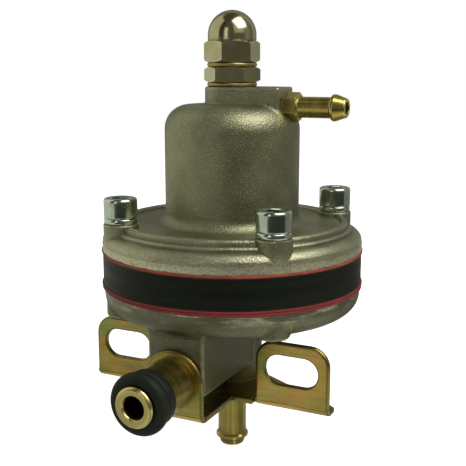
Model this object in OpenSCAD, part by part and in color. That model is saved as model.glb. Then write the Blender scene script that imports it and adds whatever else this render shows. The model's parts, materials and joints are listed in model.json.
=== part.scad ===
// Diaphragm fuel pressure regulator: sprung bell, spacer ring and lower body on a folded bracket.
// Millimetres. The origin is midway between the two bracket slots, on the front face of the ears.
// +Z runs up the body, the inlet stub points to -Y and the vacuum tail points to +X.

/* [Bracket] */
// Thickness of the sheet
sheet_t = 1.5; // [1:0.1:2]
// Inside radius of the folds
bend_r = 0.6; // [0.3:0.1:1]
// Top edge of an ear above the slot
ear_top = 7; // [6:0.5:9]
// Radius of an ear's upper corners
ear_corner_r = 5; // [2:0.5:6]
// Distance between the slot middles
slot_pitch = 47.2; // [46:0.2:52]
// Length of a slot, end to end
slot_len = 14; // [9:0.5:15]
// Width of a slot
slot_w = 7.5; // [5:0.25:9]
// Metal between a slot's inner end and the ear's edge
ear_margin_in = 2.6; // [2:0.1:3]
// Metal between a slot's outer end and the ear's edge
ear_margin_out = 2.9; // [2:0.1:6]
// Slot middle above the underside of the base
slot_drop = 10.4; // [8:0.2:12]
// Width of the tongue and of the front tab
tongue_w = 16; // [15.5:0.5:19]
// Front face of the ears to the body axis
axis_back = 15.6; // [14:0.2:20]
// Back edge of a wing behind the body axis, at its root
wing_root = 2.6; // [1:0.2:6]
// Depth of a wing at its outer end
wing_tip = 4.4; // [2.7:0.1:6]
// Width of the bevel on a wing's outer back corner
wing_bevel_w = 2.2; // [0.5:0.1:3]
// Depth of the bevel on a wing's outer back corner
wing_bevel = 1.6; // [0.5:0.1:2.5]
// Radius of the base round the body axis
base_round_r = 9.6; // [9:0.2:12]
// Width of the relief cuts beside the ears
relief_w = 0.8; // [0.4:0.1:1.5]

/* [Lower body] */
// Height of the casting from the bracket to its joint face
body_h = 25.75; // [24:0.25:30]
// Radius of the middle column
column_r = 8.1; // [7.7:0.1:9]
// Width of the inlet arm
arm_w = 15.2; // [14:0.2:15.4]
// Front face of the inlet arm from the body axis
arm_reach = 31.1; // [28:0.1:36]
// Underside of the inlet arm above the bracket
arm_gap = 4.8; // [4:0.2:5]
// Radius of the inlet arm's front edges
arm_edge_r = 0.9; // [0.3:0.1:2]
// Inlet axis above the bracket
inlet_h = 8; // [7.6:0.1:9]
// How far the lower rim stands back from the upper flange
lower_rim_step = 0.3; // [0.1:0.1:1]
// Height of the lower rim
lower_rim_h = 1.55; // [1:0.05:3]
// Depth of the bowl under its rim
bowl_depth = 6.8; // [6:0.1:9]
// Radius of the bowl's outer corner
bowl_corner_r = 5; // [3:0.5:5.5]
// Radius of the bowl's flat bottom
bowl_flat_r = 16; // [10:0.5:20]
// Wall between the fuel chamber and the screw holes
chamber_wall = 2.2; // [2:0.1:4]
// Floor of the fuel chamber
chamber_floor = 2.5; // [2:0.1:3]
// Radius of a lower screw boss
lower_boss_r = 4.1; // [3.6:0.1:4.4]
// Length of a lower screw boss under the joint face
lower_boss_h = 6.7; // [6.6:0.1:8]
// Rounding of a lower screw boss
lower_boss_edge = 1.2; // [0.3:0.1:1.4]
// Radius of the drilled fuel ways
fuel_way_r = 2.4; // [1.5:0.1:2.5]
// Distance of the rising fuel way from the body axis
riser_out = 12.5; // [11.5:0.1:14]

/* [Clamped layers] */
// Thickness of the lower gasket
gasket_t = 0.6; // [0.3:0.05:1.2]
// Thickness of each diaphragm
diaphragm_t = 0.65; // [0.3:0.05:1.2]
// Height of the spacer ring
ring_h = 7.85; // [6:0.05:12]
// How far the spacer ring stands back from the upper flange
ring_step = 0.05; // [0:0.05:0.5]
// How far the layers stand proud of the castings
layer_proud = 0.35; // [0.1:0.05:0.8]

/* [Bell] */
// Radius of the upper flange
flange_r = 34.2; // [33.5:0.05:38]
// Height of the turned rim
rim_h = 2.1; // [1.5:0.1:3]
// Radius of the rounded skirt over the rim
skirt_r = 2.75; // [2:0.05:3]
// Height of the flange's flat top above the joint face
plateau_h = 7.2; // [6.5:0.1:9]
// Height of the screw seats above the inner raised ring
screw_seat_rise = 0.05; // [0.05:0.05:2]
// Radius of the screw seats
screw_seat_r = 4.5; // [4.3:0.1:5]
// Distance of the inner raised ring from the flange's edge
inner_bead_in = 5.6; // [5.2:0.1:7]
// Distance of the outer raised ring from the flange's edge
outer_bead_in = 3.8; // [3.4:0.1:4.2]
// Half width of the raised rings
bead_w = 0.85; // [0.5:0.05:1]
// Rise of the inner raised ring over the flat top
bead_rise = 0.45; // [0.2:0.05:0.8]
// Radius of the bell
bell_r = 17.55; // [16.5:0.05:19]
// Height of the bell above the joint face
bell_h = 37.2; // [35:0.1:45]
// Radius of the bell's shoulder
shoulder_r = 6.3; // [4:0.1:7]
// Radius of the fillet between bell and flange
bell_fillet = 3; // [1.5:0.1:4]
// Wall of the bell
bell_wall = 3; // [2:0.1:3.5]
// Top wall of the bell
bell_top_t = 3.8; // [3:0.1:5]
// Depth of the recess over the diaphragm
recess_h = 3.4; // [3.2:0.1:4]
// Radius of the top boss round the body axis
boss_r = 7; // [6.7:0.1:8]
// Height of the top boss
boss_h = 4.5; // [3.5:0.1:6]
// End face of the top boss from the body axis
boss_reach = 15; // [14:0.1:16]
// Width of the top boss at its end face
boss_end_w = 9.2; // [8.4:0.1:10]

/* [Fasteners] */
// Distance of the screws from the flange's edge
screw_in = 4.35; // [4.1:0.05:4.7]
// Diameter of a cap screw's thread
screw_d = 5; // [4:0.1:5]
// Length of a cap screw under its head
screw_len = 24; // [22:0.5:25]
// Diameter of a cap screw's head
head_d = 8.5; // [7.5:0.1:8.8]
// Height of a cap screw's head
head_h = 5; // [4:0.1:6]
// Width across the flats of the socket
socket_af = 4; // [3:0.1:5]
// Depth of the socket
socket_depth = 2.6; // [1.5:0.1:3.5]
// Height of a spring washer
spring_washer_h = 1.6; // [1:0.1:2]
// Gap of a spring washer's cut
spring_washer_gap = 0.7; // [0.3:0.1:1.2]
// Room round a screw in its hole
hole_room = 0.15; // [0.05:0.05:0.3]

/* [Adjuster] */
// Diameter of the adjusting screw
adjuster_d = 8; // [7:0.1:8.4]
// Radial room of the adjusting screw in its threads
thread_room = 0.05; // [0.02:0.01:0.1]
// Width across the flats of both nuts
nut_af = 12.6; // [12:0.1:13]
// Height of the lock nut
lock_nut_h = 3.8; // [3:0.1:6]
// Turn of the lock nut's flats
lock_nut_turn = 20; // [0:1:59]
// Radius of the sealing washers
washer_r = 6.42; // [5.5:0.01:6.6]
// Height of the lower sealing washer
lower_washer_h = 1.1; // [0.6:0.1:2]
// Height of the upper sealing washer
upper_washer_h = 1.2; // [0.6:0.1:2]
// Height of the dome nut's flats
dome_hex_h = 5.3; // [4:0.1:7]
// Turn of the dome nut's flats
dome_nut_turn = 35; // [0:1:59]
// Radius of the dome
dome_r = 6.2; // [5.8:0.05:6.2]
// Straight height under the dome
dome_skirt_h = 1.5; // [0.5:0.1:3]
// Wall over the dome nut's thread
dome_top_t = 3.6; // [2.5:0.1:4]
// End of the adjusting screw above the dome nut's underside
adjuster_end = 4; // [2.8:0.1:5]
// Room over the spring seat, for the adjuster's travel
seat_room = 3; // [2.8:0.1:5]

/* [Spring and diaphragm group] */
// Diameter of the spring wire
wire_d = 2.6; // [1.5:0.1:3]
// Mean radius of the spring
spring_r = 10.2; // [9.5:0.1:10.8]
// Turns of the spring
spring_turns = 7.5; // [5.5:0.5:8.5]
// Radius of the spring seat
spring_seat_r = 13; // [12:0.1:13.2]
// Thickness of the spring seat
spring_seat_t = 2.4; // [1.5:0.1:4]
// Width of the diaphragm that flexes round its plates
diaphragm_flex = 6; // [4:0.5:10]
// Thickness of the diaphragm plates
plate_t = 1.6; // [1:0.1:1.7]
// Height of the spring guide on the upper plate
guide_h = 2; // [1:0.1:4]
// Diameter of the centre stem
stem_d = 6; // [4:0.1:7]
// Height of the stem's head
stem_head_h = 2.6; // [2:0.1:2.8]
// Radius of the stem's head
stem_head_r = 5.5; // [5:0.1:7]
// Height of the stem nut
stem_nut_h = 3.2; // [2:0.1:5]
// Width across the flats of the stem nut
stem_nut_af = 10; // [9:0.1:11]
// Radius of the valve disc
valve_disc_r = 4; // [3.6:0.1:4.5]
// Thickness of the valve disc
valve_disc_t = 1.6; // [1:0.1:2]
// How far the valve disc stands out of the stem's head
valve_disc_out = 0.4; // [0.2:0.05:0.6]
// Radius of the valve seat's flange
valve_seat_r = 4.6; // [4.2:0.1:5.5]
// Radius of the valve seat's shank
valve_shank_r = 3.4; // [3:0.1:4]
// Length of the valve seat's shank
valve_shank_len = 7; // [4:0.5:9]
// Radius of the hole in the valve seat
valve_hole_r = 1.9; // [1:0.1:2.2]
// Width of the valve seat's land
valve_land = 0.8; // [0.4:0.1:1.2]

/* [Inlet stub] */
// Radius of the stub's body
stub_r = 6.4; // [6:0.1:7]
// Length of the stub's body
stub_body_len = 9.5; // [6:0.1:14]
// Radius of the spigot in the arm
spigot_r = 4.8; // [4:0.1:5.2]
// Length of the spigot in the arm
spigot_len = 10; // [8:0.5:12]
// Radius of the stub's neck under the rings
neck_r = 3.75; // [3.4:0.05:4]
// Radius of the stub's end lip
lip_r = 4.9; // [4.5:0.05:5.4]
// Thickness of the end lip
lip_t = 1.2; // [0.8:0.1:2]
// Radius of the inlet hole
inlet_hole_r = 2.7; // [2:0.05:2.9]
// Outside radius of the backing ring
backing_r = 6.85; // [6.4:0.05:7.2]
// Width of the backing ring
backing_w = 3; // [2:0.1:4]
// Thickness of the O-ring
o_ring_d = 3.7; // [3:0.05:4]

/* [Outlet tail] */
// Radius of the tail
tail_r = 3.85; // [3.4:0.05:4.1]
// Length of the tail under the bracket
tail_len = 19; // [16:0.5:30]
// Radius of the tail's bead
tail_bead_r = 4.4; // [4.2:0.05:5]
// Distance of the bead from the tail's end
tail_bead_up = 2.6; // [2.3:0.1:5]
// Straight height of the bead
tail_land = 0.6; // [0.3:0.1:1.5]
// Radius of the tail's end
tail_end_r = 3; // [2.8:0.05:3.2]
// Radius of the tail's hole
tail_hole_r = 2.3; // [1.5:0.05:2.5]
// Width across the flats of the tail's collar
collar_af = 11; // [10:0.1:12]
// Height of the tail's collar
collar_h = 2.6; // [2:0.1:3]
// Length of the tail's shank in the column
tail_shank_len = 9; // [6:0.5:10]

/* [Vacuum tail] */
// Vacuum axis above the bell's flat top
vacuum_h = -0.4; // [-0.8:0.1:0.8]
// Width across the flats of the tail's hexagon
vacuum_af = 6.5; // [6:0.1:7]
// Length of the tail's hexagon
vacuum_hex_len = 3.8; // [3:0.1:5]
// Turn of the tail's flats
vacuum_turn = -8; // [-30:1:30]
// Radius of the pipe
vacuum_pipe_r = 2.6; // [2.2:0.05:2.8]
// Length of the whole tail outside the boss
vacuum_len = 16.1; // [13:0.1:22]
// Radius of the barb
vacuum_barb_r = 3.3; // [3:0.05:3.8]
// Length of the barb
vacuum_barb_len = 3.9; // [3:0.1:6]
// Straight length of the barb
vacuum_land = 0.7; // [0.5:0.1:1]
// Radius of the tail's end
vacuum_end_r = 2.3; // [2:0.05:2.5]
// Radius of the hole
vacuum_hole_r = 1.5; // [1:0.05:1.8]
// Radius of the shank in the boss
vacuum_shank_r = 2.4; // [2:0.05:2.5]
// Length of the shank in the boss
vacuum_shank_len = 4.5; // [3:0.1:5]

/* [Hidden] */
$fn = 64;
// How far a cut runs past a face
over = 1;
screw_angles = [45, 135, 225, 315];

// Levels from the bracket upwards
base_low = -slot_drop;
base_top = base_low + sheet_t;
inlet_z = base_top + inlet_h;
joint_z = base_top + body_h;
chamber_z = joint_z - lower_rim_h - bowl_depth + chamber_floor;
lower_diaphragm_z = joint_z + gasket_t;
ring_z = lower_diaphragm_z + diaphragm_t;
upper_diaphragm_z = ring_z + ring_h;
flange_z = upper_diaphragm_z + diaphragm_t;
screw_seat_h = plateau_h + bead_rise + screw_seat_rise;
head_z = flange_z + screw_seat_h + spring_washer_h;
bell_top_z = flange_z + bell_h;
boss_top_z = bell_top_z + boss_h;
lock_nut_z = boss_top_z + lower_washer_h;
upper_washer_z = lock_nut_z + lock_nut_h;
dome_nut_z = upper_washer_z + upper_washer_h;
dome_mid_z = dome_nut_z + dome_hex_h + dome_skirt_h;

// Adjuster and spring levels
adjuster_r = adjuster_d / 2;
thread_r = adjuster_r + thread_room;
adjuster_top_z = dome_nut_z + adjuster_end;
spring_seat_top_z = bell_top_z - bell_top_t - seat_room;
spring_seat_z = spring_seat_top_z - spring_seat_t;
seat_dimple = spring_seat_t / 3;
adjuster_low_z = spring_seat_top_z - seat_dimple;
plate_top_z = flange_z + plate_t;
spring_len = spring_seat_z - plate_top_z;
closed_gap = 0.08;
spring_bore_r = bell_r - bell_wall;
spring_room = 0.4;
spring_guide_r = spring_r - wire_d / 2 - spring_room;

// Diaphragm group levels
stem_r = stem_d / 2;
lower_plate_z = lower_diaphragm_z - plate_t;
stem_head_z = lower_plate_z - stem_head_h;
valve_z = stem_head_z - valve_disc_out;
valve_flange_t = valve_z - chamber_z;
stem_out = 1;
stem_top_z = plate_top_z + stem_nut_h + stem_out;
centre_hole_r = stem_r + hole_room;

// Radii and places that follow from the above
ring_r = flange_r - ring_step;
lower_rim_r = flange_r - lower_rim_step;
layer_r = flange_r + layer_proud;
inner_bead_r = flange_r - inner_bead_in;
outer_bead_r = flange_r - outer_bead_in;
bolt_r = flange_r - screw_in;
screw_hole_r = screw_d / 2 + hole_room;
chamber_r = bolt_r - screw_hole_r - chamber_wall;
plate_r = chamber_r - diaphragm_flex;
ear_in = slot_pitch / 2 - slot_len / 2 - ear_margin_in;
ear_out = slot_pitch / 2 + slot_len / 2 + ear_margin_out;
bend_out = bend_r + sheet_t;
tab_face = axis_back - arm_reach - sheet_t;
tail_shank_r = tail_r + hole_room;
o_ring_r = neck_r + o_ring_d / 2;
stub_neck_len = backing_w + o_ring_d;
spigot_hole_room = 0.2;
vacuum_z = bell_top_z + vacuum_h;
vacuum_hex_r = vacuum_af / sqrt(3);
vacuum_port_x = boss_reach - vacuum_shank_len - vacuum_hole_r;
spot_room = 0.4;

// Colours of the finishes
casting_colour = [0.40, 0.39, 0.32];
nickel_colour = [0.62, 0.60, 0.47];
brass_colour = [0.66, 0.58, 0.28];
zinc_colour = [0.68, 0.71, 0.70];
yellow_zinc_colour = [0.70, 0.60, 0.30];
steel_colour = [0.55, 0.55, 0.56];
black_colour = [0.09, 0.09, 0.08];
orange_red_colour = [0.68, 0.25, 0.18];
maroon_colour = [0.48, 0.14, 0.15];

// Moves its children to the body axis
module on_axis(z = 0) {
    translate([0, axis_back, z]) children();
}

// Puts its children at every screw, on the body axis
module at_screws(z = 0) {
    for (angle = screw_angles)
        on_axis(z) rotate(angle) translate([bolt_r, 0, 0]) children();
}

// Turns an outline of radius and height round Z
module turned(points) {
    rotate_extrude() polygon(points);
}

// Rod with rounded edges at its lower end
module round_foot(r, h, edge) {
    rotate_extrude() union() {
        translate([0, edge]) square([r, h - edge]);
        square([r - edge, edge]);
        translate([r - edge, edge]) intersection() {
            circle(edge);
            translate([0, -edge]) square(edge);
        }
    }
}

// Hexagon with both ends turned down to its flats
module turned_hexagon(af, h, turn, top = true) {
    corner_r = af / sqrt(3);
    drop = (corner_r - af / 2) * tan(30);
    intersection() {
        rotate(turn) cylinder(r = corner_r, h = h, $fn = 6);
        turned([[0, 0], [af / 2, 0], [corner_r, drop], [corner_r, top ? h - drop : h],
            [top ? af / 2 : corner_r, h], [0, h]]);
    }
}

// Flat ring
module ring(r, hole_r, h) {
    difference() {
        cylinder(r = r, h = h);
        translate([0, 0, -over]) cylinder(r = hole_r, h = h + 2 * over);
    }
}

// Point where a line from (x, y) touches a circle of radius r round the origin
function touch(x, y, r) = let (a = atan2(y, x) + acos(r / norm([x, y]))) [r * cos(a), r * sin(a)];

// Plate outline with round upper corners
module arched(w, h, r) {
    square([w, h - r]);
    translate([r, 0]) square([w - 2 * r, h]);
    for (x = [r, w - r])
        translate([x, h - r]) circle(r);
}

// Slot with round ends, along X
module slot(length, width) {
    square([length - width, width], center = true);
    for (side = [-1, 1])
        translate([side * (length - width) / 2, 0]) circle(width / 2);
}

// Quarter round fold along X, from the underside of the base up into an upright face at y = 0
module fold(w) {
    translate([0, bend_out, base_low + bend_out]) rotate([0, 90, 0]) difference() {
        intersection() {
            cylinder(r = bend_out, h = w);
            translate([0, -bend_out, 0]) cube([bend_out, bend_out, w]);
        }
        translate([0, 0, -over]) cylinder(r = bend_r, h = w + 2 * over);
    }
}

// Outline of the base's right half, with the wing under the ear
module half_base() {
    bevel_x = ear_out - wing_bevel_w;
    polygon([[0, 0], [ear_in - relief_w, 0], [ear_in - relief_w, bend_out], [ear_out, bend_out],
        [ear_out, wing_tip], [bevel_x, wing_tip + wing_bevel], [tongue_w / 2, axis_back + wing_root],
        [0, axis_back + wing_root]]);
}

module ear() {
    translate([ear_in, 0, 0]) fold(ear_out - ear_in);
    difference() {
        translate([ear_in, sheet_t, base_low + bend_out]) rotate([90, 0, 0])
            linear_extrude(sheet_t) arched(ear_out - ear_in, ear_top + slot_drop - bend_out, ear_corner_r);
        translate([slot_pitch / 2, sheet_t + over, 0]) rotate([90, 0, 0])
            linear_extrude(sheet_t + 2 * over) slot(slot_len, slot_w);
    }
}

module front_tab() {
    tab_r = tongue_w / 2;
    straight_h = inlet_z - base_low - bend_out;
    translate([-tab_r, tab_face, 0]) fold(tongue_w);
    difference() {
        translate([0, tab_face + sheet_t, inlet_z]) rotate([90, 0, 0]) linear_extrude(sheet_t) {
            circle(tab_r);
            translate([-tab_r, -straight_h]) square([tongue_w, straight_h]);
        }
        translate([0, tab_face + sheet_t + over, inlet_z]) rotate([90, 0, 0])
            cylinder(r = spigot_r + spigot_hole_room, h = sheet_t + 2 * over);
    }
}

module bracket() {
    color(yellow_zinc_colour) union() {
        difference() {
            translate([0, 0, base_low]) linear_extrude(sheet_t) {
                half_base();
                mirror([1, 0]) half_base();
                translate([0, axis_back]) circle(base_round_r);
                translate([-tongue_w / 2, tab_face + bend_out])
                    square([tongue_w, axis_back - tab_face - bend_out]);
            }
            on_axis(base_low - over) cylinder(r = tail_shank_r + hole_room, h = sheet_t + 2 * over);
        }
        ear();
        mirror([1, 0, 0]) ear();
        front_tab();
    }
}

// Outside of the bowl, with its joint face at height 0
module bowl_outline() {
    low = -lower_rim_h - bowl_depth;
    corner_mid = lower_rim_r - bowl_corner_r;
    run = corner_mid - bowl_flat_r;
    rise = bowl_depth - bowl_corner_r;
    sweep_r = (run * run + rise * rise) / (2 * rise);
    translate([0, -lower_rim_h]) square([lower_rim_r, lower_rim_h]);
    translate([corner_mid, -lower_rim_h]) intersection() {
        circle(bowl_corner_r);
        translate([-bowl_corner_r, -bowl_corner_r]) square([2 * bowl_corner_r, bowl_corner_r]);
    }
    translate([0, low]) intersection() {
        translate([bowl_flat_r, sweep_r]) circle(sweep_r);
        translate([bowl_flat_r, 0]) square([run, bowl_depth]);
    }
    translate([0, low]) square([bowl_flat_r, bowl_depth]);
    translate([0, -lower_rim_h - bowl_corner_r]) square([corner_mid, bowl_corner_r]);
}

// Plan of the inlet arm, running forward from the body axis
module arm_plan() {
    half_w = arm_w / 2;
    translate([-half_w, -arm_reach + arm_edge_r]) square([arm_w, arm_reach - arm_edge_r]);
    translate([-half_w + arm_edge_r, -arm_reach]) square([arm_w - 2 * arm_edge_r, arm_edge_r]);
    for (side = [-1, 1])
        translate([side * (half_w - arm_edge_r), -arm_reach + arm_edge_r]) circle(arm_edge_r);
}

module lower_body() {
    arm_low = base_top + arm_gap;
    bowl_low = joint_z - lower_rim_h - bowl_depth;
    screw_end_room = 0.5;
    color(casting_colour) difference() {
        union() {
            on_axis(joint_z) rotate_extrude() bowl_outline();
            on_axis(base_top) cylinder(r = column_r, h = bowl_low - base_top + over);
            on_axis(arm_low) linear_extrude(bowl_low + chamber_floor - arm_low) arm_plan();
            at_screws(joint_z - lower_boss_h) round_foot(lower_boss_r, lower_boss_h, lower_boss_edge);
        }
        on_axis(chamber_z) cylinder(r = chamber_r, h = joint_z - chamber_z + over);
        at_screws(head_z - screw_len - screw_end_room) cylinder(r = screw_hole_r, h = screw_len);
        on_axis(base_top - over) cylinder(r = tail_hole_r, h = chamber_z - base_top + 2 * over);
        on_axis(base_top - over) cylinder(r = tail_shank_r, h = tail_shank_len - sheet_t + over);
        on_axis(chamber_z - valve_shank_len) cylinder(r = valve_shank_r, h = valve_shank_len + over);
        translate([0, tab_face + sheet_t - over, inlet_z]) rotate([-90, 0, 0])
            cylinder(r = spigot_r, h = spigot_len - sheet_t + over);
        translate([0, tab_face, inlet_z]) rotate([-90, 0, 0])
            cylinder(r = fuel_way_r, h = axis_back - tab_face - riser_out);
        on_axis(inlet_z) translate([0, -riser_out, 0]) cylinder(r = fuel_way_r, h = joint_z - inlet_z);
    }
}

module valve_seat() {
    land_r = valve_hole_r + valve_land;
    color(brass_colour) on_axis(chamber_z) difference() {
        turned([[0, -valve_shank_len], [valve_shank_r, -valve_shank_len], [valve_shank_r, 0],
            [valve_seat_r, 0], [valve_seat_r, valve_flange_t / 2], [land_r, valve_flange_t],
            [0, valve_flange_t]]);
        translate([0, 0, -valve_shank_len - over])
            cylinder(r = valve_hole_r, h = valve_shank_len + valve_flange_t + 2 * over);
    }
}

module outlet_tail() {
    bead_low = tail_len - tail_bead_up;
    bead_slope = tail_bead_r - tail_r;
    color(brass_colour) on_axis(base_low) rotate([180, 0, 0]) difference() {
        union() {
            translate([0, 0, -tail_shank_len]) cylinder(r = tail_shank_r, h = tail_shank_len + over);
            turned_hexagon(collar_af, collar_h, 0);
            turned([[0, 0], [tail_r, 0], [tail_r, bead_low - tail_land - bead_slope],
                [tail_bead_r, bead_low - tail_land], [tail_bead_r, bead_low],
                [tail_r, bead_low + bead_slope], [tail_end_r, tail_len], [0, tail_len]]);
        }
        translate([0, 0, -tail_shank_len - over])
            cylinder(r = tail_hole_r, h = tail_shank_len + tail_len + 2 * over);
    }
}

// Moves its children to the inlet, with +Z out of the front tab
module on_inlet() {
    translate([0, tab_face, inlet_z]) rotate([90, 0, 0]) children();
}

module inlet_stub() {
    end = stub_body_len + stub_neck_len + lip_t;
    lip_edge = lip_t / 2;
    body_edge = 0.4;
    color(brass_colour) on_inlet() difference() {
        union() {
            translate([0, 0, -spigot_len]) cylinder(r = spigot_r, h = spigot_len + over);
            turned([[0, 0], [stub_r, 0], [stub_r, stub_body_len - body_edge],
                [stub_r - body_edge, stub_body_len], [neck_r, stub_body_len], [neck_r, end - lip_t],
                [lip_r, end - lip_t], [lip_r, end - lip_edge], [lip_r - lip_edge, end], [0, end]]);
            translate([0, 0, end - lip_edge]) rotate_extrude()
                translate([lip_r - lip_edge, 0]) circle(lip_edge);
        }
        translate([0, 0, -spigot_len - over]) cylinder(r = inlet_hole_r, h = spigot_len + end + 2 * over);
    }
}

module backing_ring() {
    edge = 0.4;
    color(black_colour) on_inlet() translate([0, 0, stub_body_len]) difference() {
        turned([[0, 0], [backing_r - edge, 0], [backing_r, edge], [backing_r, backing_w - edge],
            [backing_r - edge, backing_w], [0, backing_w]]);
        translate([0, 0, -over]) cylinder(r = neck_r, h = backing_w + 2 * over);
    }
}

module inlet_o_ring() {
    color(black_colour) on_inlet() translate([0, 0, stub_body_len + backing_w + o_ring_d / 2])
        rotate_extrude() translate([o_ring_r, 0]) circle(o_ring_d / 2);
}

// Round layer clamped by the screws
module clamped_layer(z, r, hole_r, h) {
    difference() {
        on_axis(z) ring(r, hole_r, h);
        at_screws(z - over) cylinder(r = screw_hole_r, h = h + 2 * over);
    }
}

module lower_gasket() {
    color(maroon_colour) clamped_layer(joint_z, layer_r, chamber_r, gasket_t);
}

module lower_diaphragm() {
    color(maroon_colour) clamped_layer(lower_diaphragm_z, layer_r, centre_hole_r, diaphragm_t);
}

module upper_diaphragm() {
    color(orange_red_colour) clamped_layer(upper_diaphragm_z, layer_r, centre_hole_r, diaphragm_t);
}

module spacer_ring() {
    color(black_colour) clamped_layer(ring_z, ring_r, chamber_r, ring_h);
}

// Outside of the bell and its flange, with the joint face at height 0
module bell_outline() {
    skirt_mid = flange_r - skirt_r;
    skirt_top = rim_h + skirt_r;
    inner_top = plateau_h + bead_rise;
    outer_top = skirt_top + bead_w;
    square([flange_r, rim_h]);
    square([skirt_mid, skirt_top]);
    translate([skirt_mid, rim_h]) intersection() {
        circle(skirt_r);
        square(skirt_r);
    }
    square([outer_bead_r + bead_w, outer_top - bead_w]);
    translate([outer_bead_r, outer_top - bead_w]) circle(bead_w);
    square([inner_bead_r + bead_w, inner_top - bead_w]);
    translate([inner_bead_r, inner_top - bead_w]) circle(bead_w);
    square([inner_bead_r, plateau_h]);
    square([bell_r, bell_h - shoulder_r]);
    square([bell_r - shoulder_r, bell_h]);
    translate([bell_r - shoulder_r, bell_h - shoulder_r]) circle(shoulder_r);
    translate([bell_r, plateau_h]) difference() {
        square(bell_fillet);
        translate([bell_fillet, bell_fillet]) circle(bell_fillet);
    }
}

// Plan of the top boss: round at the adjuster, drawn in to the vacuum tail's face
module boss_plan() {
    half_w = boss_end_w / 2;
    tangent = touch(boss_reach, half_w, boss_r);
    circle(boss_r);
    polygon([[boss_reach, -half_w], [boss_reach, half_w], tangent, [0, 0], [tangent[0], -tangent[1]]]);
}

// Hollow of the bell: recess over the diaphragm, cone and spring bore
module bell_hollow() {
    cone_h = 2;
    top = bell_h - bell_top_t;
    translate([0, 0, -over]) cylinder(r = chamber_r, h = recess_h + over);
    translate([0, 0, recess_h]) cylinder(r1 = spring_bore_r + cone_h, r2 = spring_bore_r, h = cone_h);
    cylinder(r = spring_bore_r, h = top);
}

module bell_housing() {
    spot_r = vacuum_hex_r + spot_room;
    color(casting_colour) difference() {
        union() {
            on_axis(flange_z) rotate_extrude() bell_outline();
            at_screws(flange_z) cylinder(r = screw_seat_r, h = screw_seat_h);
            on_axis(bell_top_z - shoulder_r) linear_extrude(shoulder_r + boss_h) boss_plan();
        }
        on_axis(flange_z) bell_hollow();
        at_screws(flange_z - over) cylinder(r = screw_hole_r, h = screw_seat_h + 2 * over);
        on_axis(bell_top_z - bell_top_t - over) cylinder(r = thread_r, h = bell_top_t + boss_h + 2 * over);
        on_axis(vacuum_z) translate([boss_reach, 0, 0]) rotate([0, 90, 0])
            cylinder(r = spot_r, h = vacuum_hex_len);
        on_axis(vacuum_z) translate([vacuum_port_x, 0, 0]) rotate([0, 90, 0])
            cylinder(r = vacuum_hole_r, h = boss_reach);
        on_axis(vacuum_z) translate([boss_reach - vacuum_shank_len, 0, 0]) rotate([0, 90, 0])
            cylinder(r = vacuum_shank_r, h = vacuum_shank_len + over);
        on_axis(bell_top_z - bell_top_t - over) translate([vacuum_port_x + vacuum_hole_r, 0, 0])
            cylinder(r = vacuum_hole_r, h = bell_top_t + vacuum_h + over);
    }
}

module cap_screws() {
    head_r = head_d / 2;
    edge = 0.6;
    color(zinc_colour) at_screws(head_z) difference() {
        turned([[0, -screw_len], [screw_d / 2 - edge, -screw_len], [screw_d / 2, edge - screw_len],
            [screw_d / 2, 0], [head_r, 0], [head_r, head_h - edge], [head_r - edge, head_h], [0, head_h]]);
        translate([0, 0, head_h - socket_depth])
            cylinder(r = socket_af / sqrt(3), h = socket_depth + over, $fn = 6);
    }
}

module spring_washers() {
    color(zinc_colour) at_screws(flange_z + screw_seat_h) difference() {
        ring(head_d / 2, screw_hole_r, spring_washer_h);
        rotate([30, 0, 0]) translate([screw_d / 4, -spring_washer_gap / 2, -2 * spring_washer_h])
            cube([head_d, spring_washer_gap, 5 * spring_washer_h]);
    }
}

module vacuum_fitting() {
    barb_z = vacuum_len - vacuum_barb_len;
    land_z = barb_z + (vacuum_barb_r - vacuum_pipe_r) / 2;
    end_edge = 0.3;
    color(brass_colour) on_axis(vacuum_z) translate([boss_reach, 0, 0]) rotate([0, 90, 0]) difference() {
        union() {
            translate([0, 0, -vacuum_shank_len]) cylinder(r = vacuum_shank_r, h = vacuum_shank_len + over);
            turned_hexagon(vacuum_af, vacuum_hex_len, vacuum_turn);
            turned([[0, 0], [vacuum_pipe_r, 0], [vacuum_pipe_r, barb_z],
                [vacuum_barb_r, land_z], [vacuum_barb_r, land_z + vacuum_land],
                [vacuum_end_r, vacuum_len - end_edge], [vacuum_end_r - end_edge, vacuum_len],
                [0, vacuum_len]]);
        }
        translate([0, 0, -vacuum_shank_len - over])
            cylinder(r = vacuum_hole_r, h = vacuum_shank_len + vacuum_len + 2 * over);
    }
}

// Sealing washer with a round outer edge
module sealing_washer(z, h) {
    on_axis(z) difference() {
        rotate_extrude() {
            square([washer_r - h / 2, h]);
            translate([washer_r - h / 2, h / 2]) circle(h / 2);
        }
        translate([0, 0, -over]) cylinder(r = thread_r + hole_room, h = h + 2 * over);
    }
}

module lock_nut_washer() {
    color(brass_colour) sealing_washer(boss_top_z, lower_washer_h);
}

module dome_nut_washer() {
    color(brass_colour) sealing_washer(upper_washer_z, upper_washer_h);
}

module lock_nut() {
    color(nickel_colour) on_axis(lock_nut_z) difference() {
        turned_hexagon(nut_af, lock_nut_h, lock_nut_turn);
        translate([0, 0, -over]) cylinder(r = thread_r, h = lock_nut_h + 2 * over);
    }
}

module dome_nut() {
    cavity_h = dome_mid_z - dome_nut_z + dome_r - dome_top_t;
    color(nickel_colour) on_axis(dome_nut_z) difference() {
        union() {
            turned_hexagon(nut_af, dome_hex_h, dome_nut_turn);
            cylinder(r = dome_r, h = dome_hex_h + dome_skirt_h);
            translate([0, 0, dome_hex_h + dome_skirt_h]) sphere(dome_r);
        }
        translate([0, 0, -over]) cylinder(r = thread_r, h = cavity_h + over);
    }
}

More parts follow.
